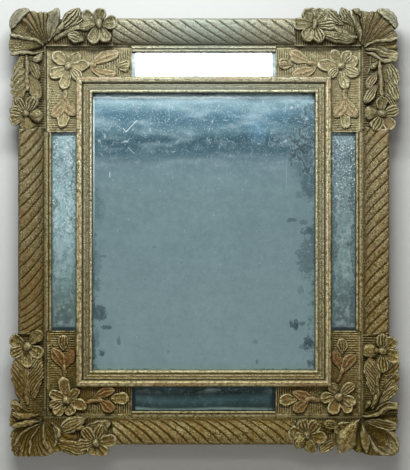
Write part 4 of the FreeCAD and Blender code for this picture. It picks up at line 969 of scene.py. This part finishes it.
# Fans: start and end angle, swirl at both, outline, grooves, depth at pivot and edge, lift of both edges.
ornamentCarving = {
    "top_left": {
        "dull": 0.52, "pivot": (0, 1),
        "fans": [
            (-19, 15, 6, 5, (50, 53, 52, 52), (), 43, 47, 0, 0, {"deep": -2.0, "lines": 7}),
            (13, 54, 5, 0, (53, 54, 56, 54), (0.7,), 43.5, 50, 0, 0,
             {"deep": 0.9, "lines": 9, "lineDepth": 0.3}),
            (46, 113, 0, 0, (56, 54, 52, 47, 46, 49, 51), (0.14, 0.3, 0.46, 0.58, 0.7, 0.85), 44, 52, 0,
             0)],
        "across": ((-74, 31), (5.0, 7.5),
                   [
                       ("petal", 34, 28, 8.5), ("petal", 98, 22, 9), ("petal", 175, 28, 10),
                       ("petal", 244, 29, 9), ("petal", 289, 29, 9.5), ("ball", 351, 29, 7.5)]),
        "down": ((27.5, -95), (5.2, 5.0),
                 [
                     ("ball", 188, 24, 9.5), ("ball", 268, 26, 10), ("petal", 333, 25, 9),
                     ("cut", 14, 23, 8.5), ("cut", 56, 27, 8.5), ("cut", 118, 27, 9)]),
        "leaves": [
            ("lip", 3, 0, 50.5, 15.5, 3.0, 3.5, 45.5, 54, {"swing": 1.6}),
            ("lip", 3, -7, 50, -13, 3.2, 0, 45, 53, {"swing": -1.8, "notches": 3, "notch": 0.2}),
            ("blade", -4, 7, -17, 53, 8.5, -1, 44, 55, {"grey": 0.3, "grooves": 1, "cup": 2.2}),
            ("ridge", -8, 12, -25, 33, 4.0, 2, 45, 53, {"worn": 0.9}),
            ("ridge", 5, -8, 18, -22, 4.6, -2, 46, 52, {"worn": 0.7}),
            ("flap", 46, 23, 22, 49, 8, -7, 54.5, 54.5), ("stem", -12, 9, -52, 27, 4.2, -2, 46, 50),
            ("vein", -18, 24, -47, 53, 10.5, 3, 47, 52), ("vein", -30, 28, -60, 47, 9, 2, 46, 49),
            ("blade", -54, 7, -31, 16, 7.5, 0, 47, 51, {"worn": 1.0}),
            ("stem", 25.8, -14, 25.8, -64, 3.2, 0, 50, 52, {"worn": 1.0}),
            ("striped", 37, -14, 39, -80, 13.5, -1, 46, 49,
             {"slope": -1.2, "ragged": 0.3, "pitch": 11, "stripe": 1.5}),
            ("blade", 29, -18, 11, -47, 7.5, -4, 46, 49, {"worn": 0.5}),
            ("blade", 28, -36, 12, -78, 9.5, -4, 46.5, 50,
             {"grooves": 4, "grooveDepth": 0.6, "worn": 0.5})]},
    "top_right": {
        "dull": 0.45, "pivot": (1, -1),
        "fans": [
            (-26, 12, 10, 2, (52, 50, 49, 50), (0.35, 0.7), 43, 48, 0, 0),
            (8, 50, 6, 0, (50, 51, 52, 53, 53), (0.36, 0.68), 44, 51, 0, 0,
             {"deep": 1.1, "lines": 11, "lineDepth": 0.4, "bole": 0.14}),
            (44, 80, 0, 0, (53, 54, 54, 50), (0.4, 0.72), 44, 50, 0, 0,
             {"deep": 1.2, "lines": 8, "lineDepth": 0.4, "bole": 0.2}),
            (76, 114, 0, 0, (49, 50, 51, 51, 47), (0.5,), 44.5, 50, 0, 0, {"lines": 6, "lineDepth": 0.4})],
        "across": ((-66, 30), (3.6, 7.5),
                   [
                       ("petal", 58, 25, 11), ("petal", 118, 26, 11), ("petal", 178, 31, 9),
                       ("cut", 0, 30, 9), ("petal", 236, 27, 9.5), ("cut", 290, 27, 9.5)]),
        "down": ((28, -95), (7.0, 5.2),
                 [
                     ("petal", 92, 25, 8.5), ("ball", 175, 25, 10), ("cut", 15, 25, 9.5),
                     ("cut", 245, 26, 9.5), ("petal", 305, 27, 9.5)]),
        "leaves": [
            ("lip", -2, 5, -16, 50, 3.2, -3, 46, 55, {"swing": -2.0}),
            ("ridge", -2, 40, -13, 51, 4, -2, 52, 54),
            ("lip", 4, -1, 52, 13, 2.8, 1, 46, 54, {"swing": 2.0}),
            ("curl", 4, -4, 52, -12, 7.0, 0, 45, 54, {"swing": 2.0}),
            ("lip", 6, -9, 44, -20, 3.4, -3, 46, 53, {"swing": 2.0}),
            ("ball", 34, -13, 52, -20, 6, 0, 50, 55, {"worn": 0.9}),
            ("flap", 47, 24, 21, 48, 8, -7, 54.5, 54.5,
             {"notch": 0.16, "notches": 5, "grey": 0.2, "worn": 0.9}),
            ("stem", -6, 12, -42, 30, 4, 3, 47, 51, {"worn": 0.7}),
            ("blade", -10, 27, -28, 54, 8.5, 2, 46, 51, {"notches": 3, "notch": 0.14}),
            ("blade", -24, 30, -50, 53, 8.5, 3, 46, 50, {"notches": 4, "notch": 0.14}),
            ("vein", -8, 8, -58, 15, 9, -2, 45, 48.5, {"grooves": 4, "swing": 1.6}),
            ("stem", 24.5, -20, 28.5, -72, 3.2, 0, 49.5, 51.5, {"worn": 0.8, "bole": 0.35}),
            ("stem", 12, -14, 7, -40, 1.6, 3, 44, 44),
            ("ridge", 23, -20, 13, -32, 4.0, 1, 47, 51, {"worn": 0.8}),
            ("blade", 23, -35, 9, -61, 6.5, -2, 46, 50, {"bole": 0.45}),
            ("blade", 24, -54, 5, -81, 7, -2, 46, 51),
            ("blade", 30, -22, 51, -57, 8.5, 3, 46, 51, {"swing": 1.0}),
            ("blade", 30, -46, 52, -77, 8.5, 3, 46, 52, {"swing": 1.0}),
            ("blade", 30, -64, 48, -88, 6.5, 2, 46, 49)]},
    "bottom_left": {
        "dull": 0.34, "pivot": (3, 5),
        "fans": [
            (-34, 10, 0, 0, (46, 48, 49, 48), even(6), 43, 49, 3.0, 0, {"deep": 1.4, "dirt": 0.2}),
            (-14, 78, 34, 30, (50, 54, 62, 68, 66, 58, 52, 48), even(13), 44, 50, 3.0, 1.0,
             {"deep": 1.3, "lines": 30, "lineDepth": 0.25, "dirt": 0.2}),
            (94, 142, 8, 14, (46, 50, 54, 52), even(6), 44, 49, 2.0, 0, {"deep": 1.4, "dirt": 0.2})],
        "across": ((-70, 36), (5.5, 5.5),
                   [
                       ("cut", 8, 27, 9), ("petal", 70, 18, 9), ("petal", 130, 23, 9.5),
                       ("petal", 190, 30, 9.5), ("cut", 250, 28, 10), ("cut", 310, 27, 9.5)]),
        "down": ((26, -99), (6.6, 6.6),
                 [
                     ("petal", 333, 27, 9), ("petal", 227, 29, 9), ("petal", 151, 26, 9.5),
                     ("cut", 28, 26, 9.5), ("petal", 90, 30, 9)]),
        "leaves": [
            ("ridge", 8, 5, 47, 12, 4.5, 0, 47, 56, {"worn": 0.9}),
            ("curl", 14, -3, 47, -24, 7, 6, 45, 52), ("lip", 7, 9, 44, 40, 2.2, -6, 46, 52),
            ("lip", 5, 10, 22, 52, 2.2, -6, 46, 53), ("ridge", 10, -4, 48, -6, 5.5, 4, 46, 53),
            ("lip", 1, 8, -5, 45, 3.0, -5, 47, 54), ("lip", -8, 8, -12, 42, 2.4, 5, 46, 52, {"grey": 0.4}),
            ("ridge", -11, 10, -19, 30, 3.6, 3, 48, 53, {"worn": 0.9}),
            ("vein", -14, 25, -56, 2, 10, 2, 46.5, 51, {"grooves": 4, "worn": 0.8}),
            ("stem", -12, 29, -56, 38, 3.8, -2, 48, 51),
            ("blade", -46, 20, -92, 9, 9, 0, 45, 48, {"grooves": 4}),
            ("vein", -12, 38, -58, 49, 10, 0, 46, 49, {"grooves": 4, "swing": 1.0}),
            ("ridge", -34, 20, -56, 16, 4, 3, 47, 51),
            ("stem", 26, -18, 26, -78, 4.4, 0, 47.5, 49.5, {"bole": 0.45}),
            ("striped", 36, -20, 39, -86, 12.5, -1, 45.5, 49,
             {"slope": -1.5, "ragged": 0.3, "bole": 0.25}),
            ("striped", 17, -22, 10, -88, 11, 1, 46, 50, {"slope": 1.7, "pitch": 7.0, "stripe": 1.5})]},
    "bottom_right": {
        "dull": 0.33, "pivot": (-3, 3),
        "fans": [
            (-20, 36, -2, 0, (56, 55, 54, 53, 53), (0.3, 0.62), 43, 49, 0, 0, {"dirt": 0.6, "lines": 9}),
            (30, 84, 0, 0, (54, 62, 66, 56, 48), (0.5,), 44, 48, 0, 0, {"dirt": 0.6}),
            (84, 150, 0, 0, (48, 46, 42, 34, 30), (0.3, 0.6), 43, 47, 0, 0)],
        "across": ((-77, 25), (5.0, 6.0),
                   [
                       ("petal", 10, 29, 9), ("ball", 69, 27, 9.5), ("ball", 132, 24, 8.5),
                       ("petal", 190, 27, 9.5), ("cut", 250, 24, 10), ("cut", 310, 25, 10)]),
        "down": ((28.5, -93), (7.0, 5.0),
                 [
                     ("cut", 270, 24, 9.5), ("ball", 178, 27, 10), ("petal", 26, 26, 10),
                     ("petal", 318, 25, 9), ("cut", 88, 31, 9)]),
        "leaves": [
            ("petal", 3, 6, 49, 51, 18, 0, 46, 52,
             {
                 "cup": 4.5, "dirt": 0.5, "blunt": 0.42, "grey": 0.2, "worn": 0.3, "grooves": 4,
                 "grooveDepth": 0.8}),
            ("curl", 4, -5, 52, -17, 6.5, 0, 46, 54, {"swing": 3.0}),
            ("lip", 1, -2, 51, -13, 2.8, 0, 48, 56, {"swing": 3.2, "worn": 1.0}),
            ("blade", 4, 5, 50, 14, 8, 0, 45, 51, {"dirt": 0.8}),
            ("ridge", 0, 6, 7, 49, 6, 0, 47, 54, {"worn": 0.9}),
            ("satin", -3, 3, -26, 48, 14, 4, 46, 55, {"worn": 0.5}),
            ("lip", -8, 16, -32, 33, 3.0, 4, 49, 55, {"worn": 1.0}),
            ("curl", -14, 34, -32, 50, 6, 2, 48, 53), ("bud", -13, 10, -38, 21, 9, 0, 45, 48),
            ("cut", -30, 14, -54, 8, 6.5, 0, 47, 50, {"worn": 0.9}),
            ("vein", -40, 22, -72, 7, 8.5, 0, 45, 48), ("blade", -32, 31, -60, 48, 8, 0, 45, 48),
            ("stem", 15, -12, 25, -68, 3.2, 2, 48, 50, {"bole": 0.5, "swing": 2.0}),
            ("ridge", 12, -14, 19, -32, 3.2, 2, 48, 52, {"worn": 0.9}),
            ("ridge", 5, -11, 11, -24, 3.4, 1, 46, 50),
            ("striped", 16, -28, 10, -84, 11.5, 2, 47, 50,
             {"slope": 1.9, "pitch": 6.5, "stripe": 1.5, "worn": 0.6}),
            ("blade", 25, -18, 52.5, -42, 7.5, -3, 46, 52, {"worn": 1.0}),
            ("curl", 28, -42, 52.5, -62, 8, 4, 46, 52), ("curl", 28, -58, 52, -80, 8, 4, 46, 52),
            ("blade", 27, -32, 46, -54, 6, 3, 45, 48)]}}


def ornamentShells(corner, carving, look):
    def place(p, q, depth):
        p, q = handCut(p, q, len(corner))
        p, q = softLimit(p, look["softP"], look["maxP"]), softLimit(q, look["softQ"], look["maxQ"])
        return atCorner(corner, p, q, depth)

    def groundPlace(r, s, depth):
        return atCorner(corner, look["start"] + width - r, look["start"] + width - s, depth)

    width = look["armWidth"]
    lengths = (width + look["armAcross"], width + look["armDown"])
    shells = groundShells(groundPlace, width, lengths, seatDepth, look["ground"], look["drop"],
                          look["ribFrom"], width - look["ribEnd"], look["dirt"], groundLook)
    for fan in carving["fans"]:
        shells.append(fanShell(carving["pivot"], fan, seatDepth, place))
    for leaf in carving["leaves"]:
        shells.append(leafShell(leaf, seatDepth, place))
    for centre, boss, petals in (carving["across"], carving["down"]):
        shells += flowerShells(centre, petals, boss, seatDepth, look["face"], place)
    return shells


for corner, carving in ornamentCarving.items():
    makePiece("corner_ornament_" + corner, ornamentShells(corner, carving, ornamentLook), carving["dull"])
print("corner ornaments carved")

# Stage: pale floor, and a pale wall with an opening that the mirror covers, so that light reaches its back.
# Both are seen only from their front.
stageLook = {
    "wall": "#c6c3be", "floor": "#dddad5", "cloud": "#c9c5bf", "wallY": 0.0015, "floorZ": -0.62,
    "size": 7.0, "overlap": 0.01}


def paleStage(name, hexColour):
    # Matt paint; its back is clear, so that the mirror can be seen from behind
    material, add, surface = newMaterial(name)
    cloud = add("noise", add("place"), 3.0, 3.0)
    colour = add("mix", add("ramp", cloud, 0.0, 1.0, 0.0, 0.12), hexColour, stageLook["cloud"])
    surface({"Base Color": colour, "Roughness": 0.9})
    tree = material.node_tree
    painted = tree.nodes["Principled BSDF"].outputs[0]
    seen = add("either", add("geometry", out="Backfacing"), painted, add("unseen"))
    fillSockets(tree, tree.nodes["Material Output"], {"Surface": seen})
    return material


def stagePlane(name, corner, edgeA, edgeB, material):
    # Flat sheet from a corner and two edges, facing along their cross product
    corner, edgeA, edgeB = np.array(corner), np.array(edgeA), np.array(edgeB)
    mesh = bpy.data.meshes.new(name)
    mesh.from_pydata([corner, corner + edgeA, corner + edgeA + edgeB, corner + edgeB], [], [(0, 1, 2, 3)])
    mesh.materials.append(material)
    sheet = bpy.data.objects.new(name, mesh)
    scene.collection.objects.link(sheet)


reach, wallY, floorZ = stageLook["size"], stageLook["wallY"], stageLook["floorZ"]
openX, openZ = outerX / 1000 - stageLook["overlap"], outerZ / 1000 - stageLook["overlap"]
wallPaint = paleStage("pale wall", stageLook["wall"])
wallParts = {"left": (-reach / 2, -openX, floorZ, reach), "right": (openX, reach / 2, floorZ, reach),
             "below": (-openX, openX, floorZ, -openZ), "above": (-openX, openX, openZ, reach)}
for name, (fromX, toX, fromZ, toZ) in wallParts.items():
    stagePlane("wall_" + name, (fromX, wallY, fromZ), (toX - fromX, 0, 0), (0, 0, toZ - fromZ), wallPaint)
floorPaint = paleStage("pale floor", stageLook["floor"])
stagePlane("floor", (-reach / 2, -reach, floorZ), (reach, 0, 0), (0, reach + wallY, 0), floorPaint)

# Camera: square on, a little below the middle
cameraLook = {"x": 0.00175, "y": -2.4, "z": -0.0049, "planeDepth": 0.042, "halfHeight": 0.329,
              "sensor": 36.0}
camera = bpy.data.objects.new("camera", bpy.data.cameras.new("camera"))
camera.data.sensor_width = cameraLook["sensor"]
away = -cameraLook["y"] - cameraLook["planeDepth"]
camera.data.lens = cameraLook["sensor"] / 2 * away / cameraLook["halfHeight"]
camera.location = (cameraLook["x"], cameraLook["y"], cameraLook["z"])
camera.rotation_euler = (math.pi / 2, 0, 0)
scene.collection.objects.link(camera)
scene.camera = camera

# Light: a large soft key from above, a narrow ceiling panel that the top strip mirrors, weak fills
lampLook = {
    "key": {
        "at": (-0.1, -0.84, 0.76), "to": (0, 0, 0.05), "size": (0.6, 0.22), "watts": 15.6,
        "colour": (0.88, 0.96, 1.0)},
    "panel": {
        "at": (0.0, -2.0, 0.80), "to": (0, 0, 0.2), "size": (0.8, 0.3), "watts": 6.0, "colour": (1, 1, 1)},
    "fill": {
        "at": (1.4, -1.6, 0.1), "to": (0, 0, 0), "size": (1.2, 1.2), "watts": 1.0, "colour": (1, 1, 1)},
    "rear": {
        "at": (0.8, 1.8, 1.2), "to": (0, 0, 0), "size": (1.5, 1.5), "watts": 50.0, "colour": (1, 1, 1)}}


def addLamp(name, look):
    # Area lamp at a place, aimed at another
    lamp = bpy.data.lights.new(name, "AREA")
    lamp.shape = "RECTANGLE"
    lamp.size, lamp.size_y = look["size"]
    lamp.energy = look["watts"]
    lamp.color = look["colour"]
    holder = bpy.data.objects.new(name, lamp)
    holder.location = look["at"]
    aim = np.array(look["to"]) - np.array(look["at"])
    flat = math.hypot(aim[0], aim[1])
    holder.rotation_euler = (math.atan2(flat, -aim[2]), 0, math.atan2(-aim[0], aim[1]))
    holder.visible_camera = False
    scene.collection.objects.link(holder)


for name, look in lampLook.items():
    addLamp(name + "_lamp", look)

# Soft room, brighter straight ahead, where the plates look
roomLook = {"colour": "#c4c6c8", "edgeY": -0.86, "aheadY": -0.96, "around": 0.22, "ahead": 0.585}
world = bpy.data.worlds.new("soft room")
world.use_nodes = True
scene.world = world
tree = world.node_tree
ahead = addNode(tree, "axes", addNode(tree, "place", out="Generated"), out="Y")
share = addNode(tree, "ramp", ahead, *[roomLook[key] for key in ("edgeY", "aheadY", "around", "ahead")])
fillSockets(tree, tree.nodes["Background"], {"Color": roomLook["colour"], "Strength": share})
scene.view_settings.view_transform = "Standard"
print("stage, camera and lamps set")
